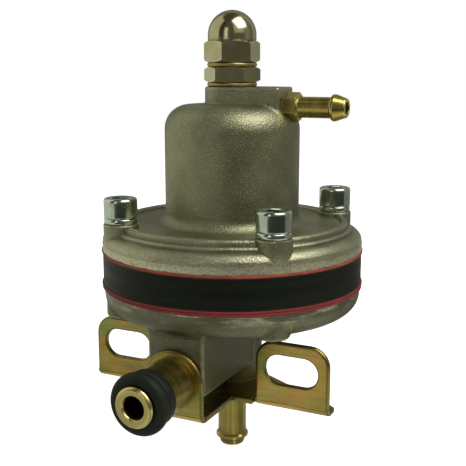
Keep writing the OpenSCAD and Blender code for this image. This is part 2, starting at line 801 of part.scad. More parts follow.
module adjusting_screw() {
    edge = 0.8;
    tip_r = adjuster_r / 2;
    length = adjuster_top_z - adjuster_low_z;
    driver_w = 1.2;
    driver_depth = 2;
    color(steel_colour) on_axis(adjuster_low_z) difference() {
        turned([[0, 0], [tip_r, 0], [adjuster_r, tip_r], [adjuster_r, length - edge],
            [adjuster_r - edge, length], [0, length]]);
        translate([-adjuster_r - over, -driver_w / 2, length - driver_depth])
            cube([adjuster_d + 2 * over, driver_w, driver_depth + over]);
    }
}

module upper_spring_seat() {
    spigot_h = 2;
    dimple_r = adjuster_r / 2 + hole_room;
    color(steel_colour) on_axis(spring_seat_z) difference() {
        union() {
            cylinder(r = spring_seat_r, h = spring_seat_t);
            translate([0, 0, -spigot_h])
                cylinder(r = spring_guide_r, h = spigot_h + spring_seat_t);
        }
        translate([0, 0, spring_seat_t - seat_dimple])
            cylinder(r1 = dimple_r, r2 = dimple_r + 2 * seat_dimple, h = 2 * seat_dimple);
    }
}

// Height of the wire's middle after k turns, with one closed turn at each end
function spring_z(k) =
    let (close = wire_d + closed_gap, height = spring_len - wire_d)
    wire_d / 2 + (k < 1 ? close * k
        : k > spring_turns - 1 ? height - close * (spring_turns - k)
        : close + (height - 2 * close) * (k - 1) / (spring_turns - 2));

module main_spring() {
    steps = 24;
    sides = 10;
    rings = spring_turns * steps;
    wire_r = wire_d / 2;
    points = [for (i = [0 : rings]) for (s = [0 : sides - 1])
        let (turn = 360 * i / steps, side = 360 * s / sides, r = spring_r + wire_r * cos(side))
        [r * cos(turn), r * sin(turn), spring_z(i / steps) + wire_r * sin(side)]];
    sleeve = [for (i = [0 : rings - 1]) for (s = [0 : sides - 1])
        let (a = i * sides + s, b = i * sides + (s + 1) % sides) [a, a + sides, b + sides, b]];
    first = [for (s = [0 : sides - 1]) s];
    last = [for (s = [sides - 1 : -1 : 0]) rings * sides + s];
    color(steel_colour) on_axis(plate_top_z)
        polyhedron(points, concat(sleeve, [first, last]), convexity = 10);
}

// Dished diaphragm plate with a turned edge
module plate(z, up) {
    edge = plate_t / 2;
    on_axis(z) translate([0, 0, up ? 0 : plate_t]) mirror([0, 0, up ? 0 : 1]) difference() {
        turned([[0, 0], [plate_r - edge, 0], [plate_r, edge], [plate_r, plate_t], [0, plate_t]]);
        translate([0, 0, -over]) cylinder(r = centre_hole_r, h = plate_t + 2 * over);
    }
}

module upper_diaphragm_plate() {
    nut_room = 0.4;
    color(steel_colour) union() {
        plate(flange_z, true);
        on_axis(plate_top_z - plate_t / 2)
            ring(spring_guide_r, stem_nut_af / sqrt(3) + nut_room, guide_h + plate_t / 2);
    }
}

module lower_diaphragm_plate() {
    color(steel_colour) plate(lower_plate_z, false);
}

module centre_spacer() {
    waist_r = plate_r / 2;
    lip = 1.6;
    color(steel_colour) on_axis(ring_z) difference() {
        turned([[0, 0], [plate_r, 0], [plate_r, lip], [waist_r, lip], [waist_r, ring_h - lip],
            [plate_r, ring_h - lip], [plate_r, ring_h], [0, ring_h]]);
        translate([0, 0, -over]) cylinder(r = centre_hole_r, h = ring_h + 2 * over);
    }
}

module centre_stem() {
    pocket = valve_disc_t - valve_disc_out;
    color(steel_colour) on_axis(stem_head_z) difference() {
        union() {
            cylinder(r = stem_head_r, h = stem_head_h);
            cylinder(r = stem_r, h = stem_top_z - stem_head_z);
        }
        translate([0, 0, -over]) cylinder(r = valve_disc_r + hole_room, h = pocket + over);
    }
}

module stem_nut() {
    color(zinc_colour) on_axis(plate_top_z) difference() {
        turned_hexagon(stem_nut_af, stem_nut_h, 0);
        translate([0, 0, -over]) cylinder(r = centre_hole_r, h = stem_nut_h + 2 * over);
    }
}

module valve_disc() {
    color(black_colour) on_axis(valve_z) cylinder(r = valve_disc_r, h = valve_disc_t);
}

bracket();
lower_body();
valve_seat();
outlet_tail();
inlet_stub();
backing_ring();
inlet_o_ring();
lower_gasket();
lower_diaphragm();
spacer_ring();
upper_diaphragm();
bell_housing();
cap_screws();
spring_washers();
vacuum_fitting();
lock_nut_washer();
lock_nut();
dome_nut_washer();
dome_nut();
adjusting_screw();
upper_spring_seat();
main_spring();
upper_diaphragm_plate();
centre_spacer();
lower_diaphragm_plate();
centre_stem();
stem_nut();
valve_disc();
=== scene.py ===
import json
import math

import bmesh
import bpy
import numpy as np
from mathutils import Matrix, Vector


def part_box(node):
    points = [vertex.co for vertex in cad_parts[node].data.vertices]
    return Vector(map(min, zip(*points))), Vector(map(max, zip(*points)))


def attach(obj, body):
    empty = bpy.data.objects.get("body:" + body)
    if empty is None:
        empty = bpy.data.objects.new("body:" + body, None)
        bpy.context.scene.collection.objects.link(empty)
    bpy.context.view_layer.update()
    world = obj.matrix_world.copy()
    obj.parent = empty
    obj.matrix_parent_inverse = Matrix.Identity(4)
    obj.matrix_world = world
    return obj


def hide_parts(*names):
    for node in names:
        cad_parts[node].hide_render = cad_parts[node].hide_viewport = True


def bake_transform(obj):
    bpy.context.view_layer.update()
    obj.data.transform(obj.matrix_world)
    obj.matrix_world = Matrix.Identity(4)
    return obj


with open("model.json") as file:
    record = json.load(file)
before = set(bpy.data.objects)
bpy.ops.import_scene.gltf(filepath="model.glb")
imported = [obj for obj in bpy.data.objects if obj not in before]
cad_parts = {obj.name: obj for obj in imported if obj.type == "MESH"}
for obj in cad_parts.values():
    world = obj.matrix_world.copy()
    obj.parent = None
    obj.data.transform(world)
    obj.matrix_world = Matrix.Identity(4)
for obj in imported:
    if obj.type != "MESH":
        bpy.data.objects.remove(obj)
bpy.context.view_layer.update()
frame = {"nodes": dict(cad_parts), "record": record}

MM = 0.001


def low_of(node, axis=2):
    """Lowest coordinate of a CAD node along an axis, in millimetres."""
    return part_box(node)[0][axis] / MM


def high_of(node, axis=2):
    """Highest coordinate of a CAD node along an axis, in millimetres."""
    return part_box(node)[1][axis] / MM


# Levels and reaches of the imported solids, in millimetres
axis_y = (low_of("spacer_ring", 1) + high_of("spacer_ring", 1)) / 2
base_low = low_of("bracket")
ear_top = high_of("bracket")
ear_out = high_of("bracket", 0)
tab_face = low_of("bracket", 1)
joint_z = high_of("lower_body")
lower_rim_r = high_of("lower_body", 0)
layer_r = high_of("upper_diaphragm", 0)
ring_r = high_of("spacer_ring", 0)
flange_z = low_of("bell_housing")
flange_r = high_of("bell_housing", 0)
boss_top_z = high_of("bell_housing")
seat_z = low_of("spring_washers")
head_z = high_of("spring_washers")
head_top_z = high_of("cap_screws")
screw_end_z = low_of("cap_screws")
stub_end = tab_face - low_of("inlet_stub", 1)
tail_end_z = low_of("outlet_tail")
vacuum_end = high_of("vacuum_fitting", 0)
vacuum_z = (low_of("vacuum_fitting") + high_of("vacuum_fitting")) / 2

# Bracket
sheet_t = 1.5
bend_r = 0.6
bend_out = bend_r + sheet_t
ear_in = 14.0
ear_corner_r = 5.0
slot_x = 23.6
slot_len = 14.0
slot_w = 7.5
tongue_half = 8.0
relief_w = 0.8
wing_tip = 4.4
wing_bevel_w = 2.2
wing_bevel = 1.6
base_round_r = 9.6
base_round_from = 16
base_hole_room = 0.3
base_top = base_low + sheet_t
inlet_z = base_top + 8.0
sheet_edge = 0.65
cut_edge = 0.3
hidden_corner_r = 0.75
sheet_overlap = 0.3

# Lower body
column_r = 8.1
column_fillet = 1.2
arm_half = 7.6
arm_front = tab_face + sheet_t - axis_y
arm_low = base_top + 4.8
arm_edge = 0.9
arm_ease = 0.6
arm_fillet = 0.9
rim_h = 1.55
bowl_depth = 6.8
bowl_corner_r = 5.0
bowl_flat_r = 16.0
chamber_r = 25.0
chamber_floor = 2.5
lower_boss_r = 4.1
lower_boss_h = 6.7
lower_boss_ease = 0.7
lower_boss_fillet = 0.7

# Bell
skirt_r = 2.75
skirt_foot = 2.1
plateau_h = 7.2
plateau_dish = 0.6
ring_valley = 0.6
inner_bead_r = flange_r - 4.9
inner_bead_w = 0.95
inner_bead_rise = 0.3
outer_bead_r = flange_r - 3.6
outer_bead_w = 0.8
outer_bead_rise = 0.3
bead_fall = 8.0
bell_r = 17.55
bell_h = 37.2
shoulder_r = 6.3
bell_fillet = 3.0
bell_wall = 3.0
bell_top_t = 3.8
recess_h = 3.4
recess_bevel = 2.0
boss_r = 7.0
boss_reach = 15.0
boss_end_half = 4.6
boss_corner_r = 0.7
boss_ease = 0.55
boss_fillet = 0.8
screw_seat_r = 4.5
screw_seat_ease = 0.3
screw_seat_fillet = 0.25

# Fasteners and adjuster
bolt_r = flange_r - 4.35
screw_angles = np.radians([45, 135, 225, 315])
screw_r = 2.5
screw_hole_r = 2.65
screw_turn = 10
screw_point = 0.5
head_r = 4.25
head_ease_r = 0.75
split_inset = 0.03
split_ease = 0.45
split_gap = math.radians(11)
split_slant = 1.1
split_turn = math.radians(70)
split_spread = 0.3
socket_af = 4.0
socket_depth = 2.6
socket_mouth = 0.35
drill_point = 0.6
hex_points = 12
hex_chamfer = math.radians(30)
hex_inset = 0.06
nut_af = 12.6
washer_r = 6.42
washer_room = 0.15
thread_r = 4.05
adjuster_lead = 1.25
dome_r = 6.2
dome_hex_h = 5.3
dome_skirt_h = 1.5
dome_wall = 3.6
lock_nut_turn = 20
dome_nut_turn = 35

# Inlet stub, outlet tail and vacuum tail
stub_r = 6.4
stub_body_len = 9.5
backing_r = 6.85
backing_w = 3.0
o_ring_half = 1.85
neck_r = 3.75
lip_r = 4.9
lip_t = 1.2
inlet_hole_r = 2.7
spigot_r = 5.0
spigot_room = 0.2
spigot_len = 6.0
tail_r = 3.85
tail_bead_r = 4.4
tail_bead_up = 2.3
tail_land = 0.6
tail_end_r = 3.1
tail_hole_r = 2.3
tail_root = 8.0
collar_af = 11.0
collar_h = 2.6
vacuum_af = 6.5
vacuum_hex_len = 3.8
vacuum_turn = -8
vacuum_pipe_r = 2.6
vacuum_barb_r = 3.3
vacuum_barb_len = 3.9
vacuum_land = 0.7
vacuum_end_r = 2.3
vacuum_hole_r = 1.5
vacuum_root = 3.0
bore_shown = 4.0
pipe_room = 0.2

# Spring, spacer and diaphragms
wire_d = 2.6
wire_points = 14
closed_gap = 0.08
spring_r = 10.2
spring_turns = 7.5
spring_split = 2.4
spring_steps = 40
spring_low = low_of("main_spring")
spring_len = high_of("main_spring") - spring_low
centre_hole_r = 3.15
plate_r = chamber_r - 6.0
sector_count = 6
layer_points = 288
layer_swell = 0.6
groove_share = 0.27
groove_half = 0.2
groove_depth = 0.03


# Surfaces

def arc(first, last, count):
    """Points of a unit circle, even in angle, between two angles in degrees."""
    angle = np.radians(np.linspace(first, last, count))
    return np.stack([np.cos(angle), np.sin(angle)], 1)


def circle(count, turn=0.0):
    """Points of a whole unit circle, anticlockwise from an angle in degrees."""
    return arc(turn, turn + 360, count + 1)[:-1]


def rounded(points, radii, steps=6):
    """Open outline whose inner corners become arcs: each arc touches both sides of its corner, and its
    points lie evenly in angle round the arc's middle."""
    points = np.asarray(points, float)
    pieces = [points[:1]]
    for before, corner, after, radius in zip(points[:-2], points[1:-1], points[2:], radii):
        back = (before - corner) / np.linalg.norm(before - corner)
        ahead = (after - corner) / np.linalg.norm(after - corner)
        half = math.acos(np.clip(back @ ahead, -1, 1)) / 2
        middle = corner + (back + ahead) / np.linalg.norm(back + ahead) * radius / math.sin(half)
        start = corner + back * radius / math.tan(half) - middle
        end = corner + ahead * radius / math.tan(half) - middle
        first = math.atan2(start[1], start[0])
        sweep = (math.atan2(end[1], end[0]) - first + math.pi) % (2 * math.pi) - math.pi
        pieces.append(middle + radius * arc(math.degrees(first), math.degrees(first + sweep), steps + 1))
    pieces.append(points[-1:])
    return np.concatenate(pieces)


def divided(outline, spacing):
    """Closed outline with even points on every side, no further apart than the spacing."""
    outline = np.asarray(outline, float)
    ahead = np.roll(outline, -1, axis=0)
    counts = np.maximum(np.ceil(np.linalg.norm(ahead - outline, axis=1) / spacing), 1).astype(int)
    side = np.repeat(np.arange(len(outline)), counts)
    place = np.arange(counts.sum()) - np.repeat(np.cumsum(counts) - counts, counts)
    share = (place / counts[side])[:, None]
    return outline[side] * (1 - share) + ahead[side] * share


def outward(outline):
    """Unit normals of a closed outline that runs anticlockwise: the tangent turned by a right angle."""
    tangent = np.roll(outline, -1, axis=0) - np.roll(outline, 1, axis=0)
    normal = np.stack([tangent[:, 1], -tangent[:, 0]], 1)
    return normal / np.linalg.norm(normal, axis=1, keepdims=True)


def turned(outline, count):
    """Outline of radius and height carried round Z: x = r cos a, y = r sin a, z = height."""
    radius, height = np.asarray(outline, float).T[:, :, None]
    x, y = circle(count).T
    return np.stack([radius * x, radius * y, height + 0 * x], -1)


def on_axis(points, z=0.0):
    """Moves points from the origin to the body axis."""
    return points + np.array([0, axis_y, z])


def at_screw(points, angle, z=0.0):
    """Moves points from the origin to a screw's place on the bolt circle."""
    return on_axis(points + bolt_r * np.array([np.cos(angle), np.sin(angle), 0]), z)


def on_inlet(points):
    """Turns points that run along Z to run out of the front tab, along -Y."""
    x, y, z = np.moveaxis(points, -1, 0)
    return np.stack([x, tab_face - z, inlet_z + y], -1)


def on_vacuum(points):
    """Turns points that run along Z to run out of the top boss, along X."""
    x, y, z = np.moveaxis(points, -1, 0)
    return np.stack([boss_reach + z, axis_y + y, vacuum_z - x], -1)


def smooth_max(a, b, room):
    """Greater of two heights, with the valley where they meet filled: (room - |a - b|)^2 / 4 room."""
    near = np.maximum(room - np.abs(a - b), 0)
    return np.maximum(a, b) + near ** 2 / (4 * room)


def circle_rise(distance, radius):
    """Height of a circle over its middle at a distance from it, falling steeply outside."""
    inside = np.sqrt(np.maximum(radius ** 2 - distance ** 2, 0))
    return inside - bead_fall * np.maximum(np.abs(distance) - radius, 0)


def flange_top(radius):
    """Height of the bell's flange over its joint face: skirt arc, outer raised ring, inner raised ring and
    dished top, each a function of the radius, joined by filled valleys."""
    out = np.clip(radius - flange_r + skirt_r, 0, skirt_r)
    skirt = skirt_foot + np.sqrt(np.maximum(skirt_r ** 2 - out ** 2, 0))
    outer = skirt_foot + skirt_r + outer_bead_rise + circle_rise(radius - outer_bead_r, outer_bead_w)
    inner = plateau_h + inner_bead_rise - inner_bead_w + circle_rise(radius - inner_bead_r, inner_bead_w)
    flat = plateau_h - plateau_dish - bead_fall * np.maximum(radius - inner_bead_r, 0)
    low_pair = smooth_max(skirt, outer, ring_valley)
    return smooth_max(low_pair, smooth_max(inner, flat, ring_valley), ring_valley)


def bell_top(radius):
    """Height of the bell's top over its joint face: flat, then the shoulder's quarter circle."""
    out = np.clip(radius - (bell_r - shoulder_r), 0, shoulder_r)
    return bell_h - shoulder_r + np.sqrt(np.maximum(shoulder_r ** 2 - out ** 2, 0))


def bowl_low(radius):
    """Underside of the lower body's bowl under its joint face: flat, a wide sweep, then the corner arc."""
    low = -rim_h - bowl_depth
    corner_mid = lower_rim_r - bowl_corner_r
    run = corner_mid - bowl_flat_r
    rise = bowl_depth - bowl_corner_r
    sweep_r = (run ** 2 + rise ** 2) / (2 * rise)
    swept = np.clip(radius - bowl_flat_r, 0, run)
    corner = np.clip(radius - corner_mid, 0, bowl_corner_r)
    return np.where(radius < corner_mid, low + sweep_r - np.sqrt(sweep_r ** 2 - swept ** 2),
                    -rim_h - np.sqrt(np.maximum(bowl_corner_r ** 2 - corner ** 2, 0)))


def level_row(outline, height):
    """One row of points: a plan outline at a height, which may change along the outline."""
    return np.stack([outline[:, 0], outline[:, 1], height + 0 * outline[:, 0]], 1)


def from_axis(outline):
    """Distance of plan points from the origin."""
    return np.hypot(outline[:, 0], outline[:, 1])


def drawn_to(outline, radius):
    """Plan points moved along their rays from the origin to a circle."""
    return outline / from_axis(outline)[:, None] * radius


def held_in(outline, radius):
    """Plan points drawn in to a circle where they stand outside it."""
    return outline * np.minimum(1, radius / np.maximum(from_axis(outline), 1e-9))[:, None]


def eased_rows(plan_at, ease, level, rise, count=5):
    """Rows of a rounded edge, from a face at a level to the wall: a quarter circle. The plan is a function
    of how far it stands out from the wall, and the rise is 1 or -1 from face to wall."""
    return [level_row(plan_at(ease * (math.sin(turn) - 1)), level + rise * ease * (1 - math.cos(turn)))
            for turn in np.linspace(0, np.pi / 2, count)]


def foot_rows(plan_at, reach, height_at, steps=5):
    """Rows of a fillet foot: a quarter circle from the wall out to the ground. The height is a function of
    the distance from the axis and of the fillet's height over the ground there."""
    rows = []
    for share in np.linspace(0, 1, steps + 1):
        plan = plan_at(reach * share)
        up = reach * (1 - math.sqrt(max(1 - (1 - share) ** 2, 0)))
        rows.append(level_row(plan, height_at(from_axis(plan), up)))
    return rows


def hexagon(af, turn):
    """Plan hexagon by polar angle: radius = half the width over cos of the angle from the flat's middle."""
    angle = np.linspace(0, 2 * np.pi, 6 * hex_points, endpoint=False)
    from_flat = (angle % (np.pi / 3)) - np.pi / 6
    return (af / 2 / np.cos(from_flat))[:, None] * circle(6 * hex_points, turn)


def hexagon_rows(af, low, high, turn):
    """Side of a hexagon whose ends are turned to a cone: the cone meets each flat in an arch, whose drop is
    (corner radius - half the width) times the cone's slope."""
    outline = hexagon(af, turn)
    drop = (from_axis(outline) - af / 2) * math.tan(hex_chamfer)
    face = drawn_to(outline, af / 2 - hex_inset)
    return [level_row(face, low), level_row(outline, low + drop), level_row(outline, high - drop),
            level_row(face, high)]


def round_rows(outline, turn):
    """Rows of points on circles, for an outline of radius and height, in step with a hexagon's points."""
    return [level_row(radius * circle(6 * hex_points, turn), height) for radius, height in outline]


def broken_edge(radius, height, rise, size=0.15, inset=0.04, drop=0.05):
    """Outline of a turned edge that is broken a little: from the face at a height to the wall, by way of a
    point near the corner. The rise is 1 for a wall that runs up and -1 for one that runs down."""
    return [[radius - size, height], [radius - inset, height + rise * drop], [radius, height + rise * size]]


def plan_offset(plan):
    """Function that gives a closed plan moved out along its normals by a distance."""
    normal = outward(plan)
    return lambda out: plan + normal * out


def pierced_sheet(inner, outer, hole_edge, rim_edge, steps=4):
    """Sheet between two matched closed plans. Its section, a flat bar with rounded corners, runs from the
    inner plan to the outer one and back, and is carried round; the third coordinate runs through it."""
    inner_normal = outward(inner)
    outer_normal = outward(outer)
    across, along = 1 - arc(0, 90, steps + 1).T
    inside = [(inner + inner_normal * hole_edge * i, hole_edge * d) for d, i in zip(across, along)]
    outside = [(outer - outer_normal * rim_edge * i, rim_edge * d) for d, i in zip(across, along)]
    rows = [level_row(plan, down) for plan, down in inside[::-1] + outside]
    rows += [level_row(plan, sheet_t - down) for plan, down in outside[::-1] + inside]
    return np.stack(rows)


def slot_plan(directions):
    """Slot with round ends, met by rays from its middle: a straight side at half width over the ray's rise,
    or the end circle round the end of the straight part."""
    straight = (slot_len - slot_w) / 2
    half = slot_w / 2
    across, along = np.abs(directions).T
    side = half / np.maximum(along, 1e-9)
    end = straight * across + np.sqrt(np.maximum(half ** 2 - (straight * along) ** 2, 0))
    reach = np.where(side * across <= straight, side, end)
    return directions * reach[:, None]


def fold(left, right):
    """Quarter round fold along X with its outer face at y = 0: a section between two arcs, drawn in at
    both ends and closed on its middle line."""
    quarter = arc(180, 270, 13)

    def section(inset, x):
        loop = np.concatenate([quarter * (bend_out - inset), quarter[::-1] * (bend_r + inset)])
        y, z = (loop + [bend_out, base_low + bend_out]).T
        return np.stack([x + 0 * y, y, z], 1)

    steps = ((sheet_t / 2, 0), (cut_edge, 0), (0.3 * cut_edge, 0.3 * cut_edge), (0, cut_edge))
    rows = [section(inset, left + along) for inset, along in steps]
    rows += [section(inset, right - along) for inset, along in steps[::-1]]
    return np.stack(rows)


# Finishes: small tools

def linear(red, green, blue):
    """Display colour, 0 to 255, as the linear colour that a shader takes."""
    share = np.array([red, green, blue]) / 255
    value = np.where(share <= 0.04045, share / 12.92, ((share + 0.055) / 1.055) ** 2.4)
    return (*value.tolist(), 1.0)


def shaded(colour, share):
    """Linear colour made darker or brighter by a share."""
    return (*(min(share * part, 1.0) for part in colour[:3]), 1.0)


class Graph:
    """Tree of shader nodes, with short calls for the nodes that the finishes use."""

    def __init__(self, tree):
        self.tree = tree

    def put(self, kind, inputs=None, **settings):
        """Adds a node; an input that is a socket is linked, and any other becomes its value."""
        node = self.tree.nodes.new(kind)
        for key, value in settings.items():
            setattr(node, key, value)
        for key, value in (inputs or {}).items():
            if isinstance(value, bpy.types.NodeSocket):
                self.tree.links.new(value, node.inputs[key])
            else:
                node.inputs[key].default_value = value
        return node

    def maths(self, operation, *values):
        """Result of a Math node."""
        return self.put("ShaderNodeMath", dict(enumerate(values)), operation=operation).outputs[0]

    def times(self, first, second):
        """Product of two values."""
        return self.maths("MULTIPLY", first, second)

    def fused(self, first, second, third):
        """First value times the second, plus the third."""
        return self.maths("MULTIPLY_ADD", first, second, third)

    def ramp(self, value, low, high):
        """Share of the way from low to high, held between 0 and 1 and eased."""
        node = self.put("ShaderNodeMapRange", {"Value": value, "From Min": low, "From Max": high},
                        interpolation_type="SMOOTHSTEP")
        return node.outputs["Result"]

    def mixed(self, share, first, second):
        """Mix of two colours."""
        return self.put("ShaderNodeMix", {0: share, 6: first, 7: second}, data_type="RGBA").outputs[2]

    def noise(self, vector, scale, detail=2.0, rough=0.55):
        """Value of a noise texture."""
        return self.put("ShaderNodeTexNoise", {"Vector": vector, "Scale": scale, "Detail": detail,
                                               "Roughness": rough}).outputs[0]

    def stretched(self, vector, scale, turn=(0, 0, 0), offset=(0, 0, 0)):
        """Vector moved, turned and scaled."""
        return self.put("ShaderNodeMapping", {"Vector": vector, "Location": offset, "Rotation": turn,
                                              "Scale": scale}).outputs[0]

    def place(self, offset=(0, 0, 0), turn=(0, 0, 0), scale=(1, 1, 1)):
        """Object coordinates, moved, turned and scaled."""
        return self.stretched(self.put("ShaderNodeTexCoord").outputs["Object"], scale, turn, offset)

    def parts(self, vector):
        """The three coordinates of a vector."""
        return self.put("ShaderNodeSeparateXYZ", {0: vector}).outputs

    def attribute(self, name):
        """Value that is written on the mesh."""
        return self.put("ShaderNodeAttribute", attribute_name=name).outputs["Fac"]


class Effect(Graph):
    """Shader node group that takes a vector and values with defaults, and gives named results."""

    def __init__(self, name, values, results):
        super().__init__(bpy.data.node_groups.new(name, "ShaderNodeTree"))
        sockets = self.tree.interface
        sockets.new_socket("Vector", in_out="INPUT", socket_type="NodeSocketVector")
        for label, value in values.items():
            sockets.new_socket(label, in_out="INPUT", socket_type="NodeSocketFloat").default_value = value
        for label in results:
            kind = "NodeSocketColor" if label == "Colour" else "NodeSocketFloat"
            sockets.new_socket(label, in_out="OUTPUT", socket_type=kind)
        self.given = self.tree.nodes.new("NodeGroupInput").outputs[:1 + len(values)]
        self.result = self.tree.nodes.new("NodeGroupOutput").inputs

    def give(self, label, value):
        """Links a value to one of the results."""
        self.tree.links.new(value, self.result[label])


class Finish(Graph):
    """Material whose Principled shader is fed from its nodes."""

    def __init__(self, name, metallic, specular=0.5, sheen=(1, 1, 1, 1)):
        self.material = bpy.data.materials.new(name)
        self.material.use_nodes = True
        super().__init__(self.material.node_tree)
        self.shader = self.tree.nodes["Principled BSDF"].inputs
        self.shader["Metallic"].default_value = metallic
        self.shader["Specular IOR Level"].default_value = specular
        self.shader["Specular Tint"].default_value = sheen

    def use(self, effect, vector, **values):
        """Places a shared effect with its own values, and gives its results."""
        return self.put("ShaderNodeGroup", {"Vector": vector, **values}, node_tree=effect.tree).outputs

    def feed(self, label, value):
        """Links a value to one of the shader's inputs."""
        self.tree.links.new(value, self.shader[label])

    def coat(self, ground, *layers):
        """Feeds a ground colour with layers over it into the shader. A layer is a mask, its share and its
        colour."""
        for mask, share, colour in layers:
            ground = self.mixed(self.times(mask, share), ground, colour)
        self.feed("Base Color", ground)

    def rise(self, height, strength, distance):
        """Bump from a height into the shader's normal."""
        bump = self.put("ShaderNodeBump", {"Height": height, "Strength": strength, "Distance": distance})
        self.feed("Normal", bump.outputs["Normal"])


# Finishes: shared effects

def make_casting_skin():
    """Sandy skin of a blasted casting: fine grains with pits between them, spots for painted glints, and
    slow clouds.
    """
    skin = Effect("casting_skin", {"Grain": 3300.0, "Cloud Scale": 90.0}, ("Height", "Painted Glint", "Cloud"))
    vector, grain, cloud_scale = skin.given
    pits = skin.put("ShaderNodeTexVoronoi", {"Vector": vector, "Scale": skin.times(grain, 0.6)})
    pit = skin.ramp(pits.outputs["Distance"], 0.05, 0.75)
    skin.give("Height", skin.fused(skin.noise(vector, grain, 2.5, 0.6), 0.75, skin.times(pit, 0.35)))
    skin.give("Painted Glint", skin.ramp(skin.noise(vector, skin.times(grain, 1.2), 1.0), 0.56, 0.7))
    skin.give("Cloud", skin.ramp(skin.noise(vector, cloud_scale, 3.0), 0.3, 0.7))
    return skin


def make_turning_marks():
    """Lathe lines round the Z axis of the vector: noise over distance from the axis and height only."""
    marks = Effect("turning_marks", {"Lines": 4000.0}, ("Height", "Streak"))
    vector, lines = marks.given
    x, y, z = marks.parts(vector)
    radius = marks.maths("SQRT", marks.fused(y, y, marks.times(x, x)))
    flat = marks.put("ShaderNodeCombineXYZ", {0: radius, 1: z}).outputs[0]
    marks.give("Height", marks.noise(flat, lines, 3.0, 0.7))
    marks.give("Streak", marks.ramp(marks.noise(flat, marks.times(lines, 0.12), 2.0), 0.3, 0.7))
    return marks


def make_fine_scratches():
    """Thin straight scratches in three directions: noise drawn out into needles, of which the tops show."""
    scratches = Effect("fine_scratches", {"Density": 130.0}, ("Mask",))
    vector, density = scratches.given
    total = 0.0
    for turn in ((0.3, 0.2, 0.5), (-0.5, 1.1, -0.8), (0.9, -0.4, 2.0)):
        value = scratches.noise(scratches.stretched(vector, (1, 50, 50), turn), density, 1.0, 0.5)
        total = scratches.maths("MAXIMUM", scratches.ramp(value, 0.66, 0.74), total)
    scratches.give("Mask", total)
    return scratches


def make_edge_wear_and_shade():
    """Mask where the surface turns sharply outwards, broken up by noise: bare metal on most finishes, and
    painted dark reflection on the yellow zinc's edges.
    """
    edge_graph = Effect("edge_wear_and_shade", {"Break": 700.0, "Reach": 0.35}, ("Wear And Shade",))
    vector, scale, reach = edge_graph.given
    broken = edge_graph.fused(edge_graph.noise(vector, scale, 3.0), 0.6, -0.3)
    level = edge_graph.maths("ADD", edge_graph.attribute("crest"), broken)
    edge_graph.give("Wear And Shade", edge_graph.ramp(level, reach, edge_graph.maths("ADD", reach, 0.3)))
    return edge_graph


def make_hollow_darkening():
    """Darker where the surface turns inwards, and in faint clouds elsewhere."""
    darkening = Effect("hollow_darkening", {"Patch": 220.0}, ("Darkening",))
    vector, patch = darkening.given
    cloud = darkening.ramp(darkening.noise(vector, patch, 4.0, 0.6), 0.5, 0.75)
    darkening.give("Darkening", darkening.maths("MINIMUM", darkening.fused(cloud, 0.35, darkening.attribute("hollow")), 1.0))
    return darkening


def make_passivation():
    """Colours of yellow passivated zinc: drawn-out bands of straw, olive, orange and pink, and rolling
    lines."""
    film = Effect("passivation", {"Patch": 85.0}, ("Colour", "Cloud", "Rolled"))
    vector, patch = film.given
    drawn = film.stretched(vector, (0.45, 1.0, 1.3))
    cloud = film.noise(drawn, film.times(patch, 2.3), 3.0, 0.6)
    bands = film.put("ShaderNodeValToRGB", {"Fac": film.noise(drawn, patch, 3.0, 0.55)})
    stops = bands.color_ramp.elements
    stops[0].position, stops[0].color = 0.3, linear(162, 158, 100)
    stops[1].position, stops[1].color = 0.72, linear(190, 143, 78)
    for position, colour in ((0.42, linear(158, 151, 80)), (0.5, linear(184, 164, 87)),
                             (0.58, linear(186, 156, 80)), (0.65, linear(173, 138, 91))):
        stops.new(position).color = colour
    rolled = film.noise(film.stretched(vector, (0.02, 1.0, 1.0)), 2600.0, 2.0, 0.6)
    colour = bands.outputs["Color"]
    for value, low, high, share, tint in ((cloud, 0.52, 0.68, 0.6, linear(121, 149, 89)),
                                          (cloud, 0.47, 0.32, 0.55, linear(207, 143, 100)),
                                          (rolled, 0.55, 0.75, 0.35, linear(98, 88, 46))):
        colour = film.mixed(film.times(film.ramp(value, low, high), share), colour, tint)
    film.give("Colour", colour)
    film.give("Cloud", cloud)
    film.give("Rolled", rolled)
    return film


casting_skin = make_casting_skin()
turning_marks = make_turning_marks()
fine_scratches = make_fine_scratches()
edge_wear_and_shade = make_edge_wear_and_shade()
hollow_darkening = make_hollow_darkening()
passivation = make_passivation()


# Finishes: materials

green_sheen = (0.86, 1.0, 0.76, 1.0)
body_offset = (0, -axis_y * MM, 0)


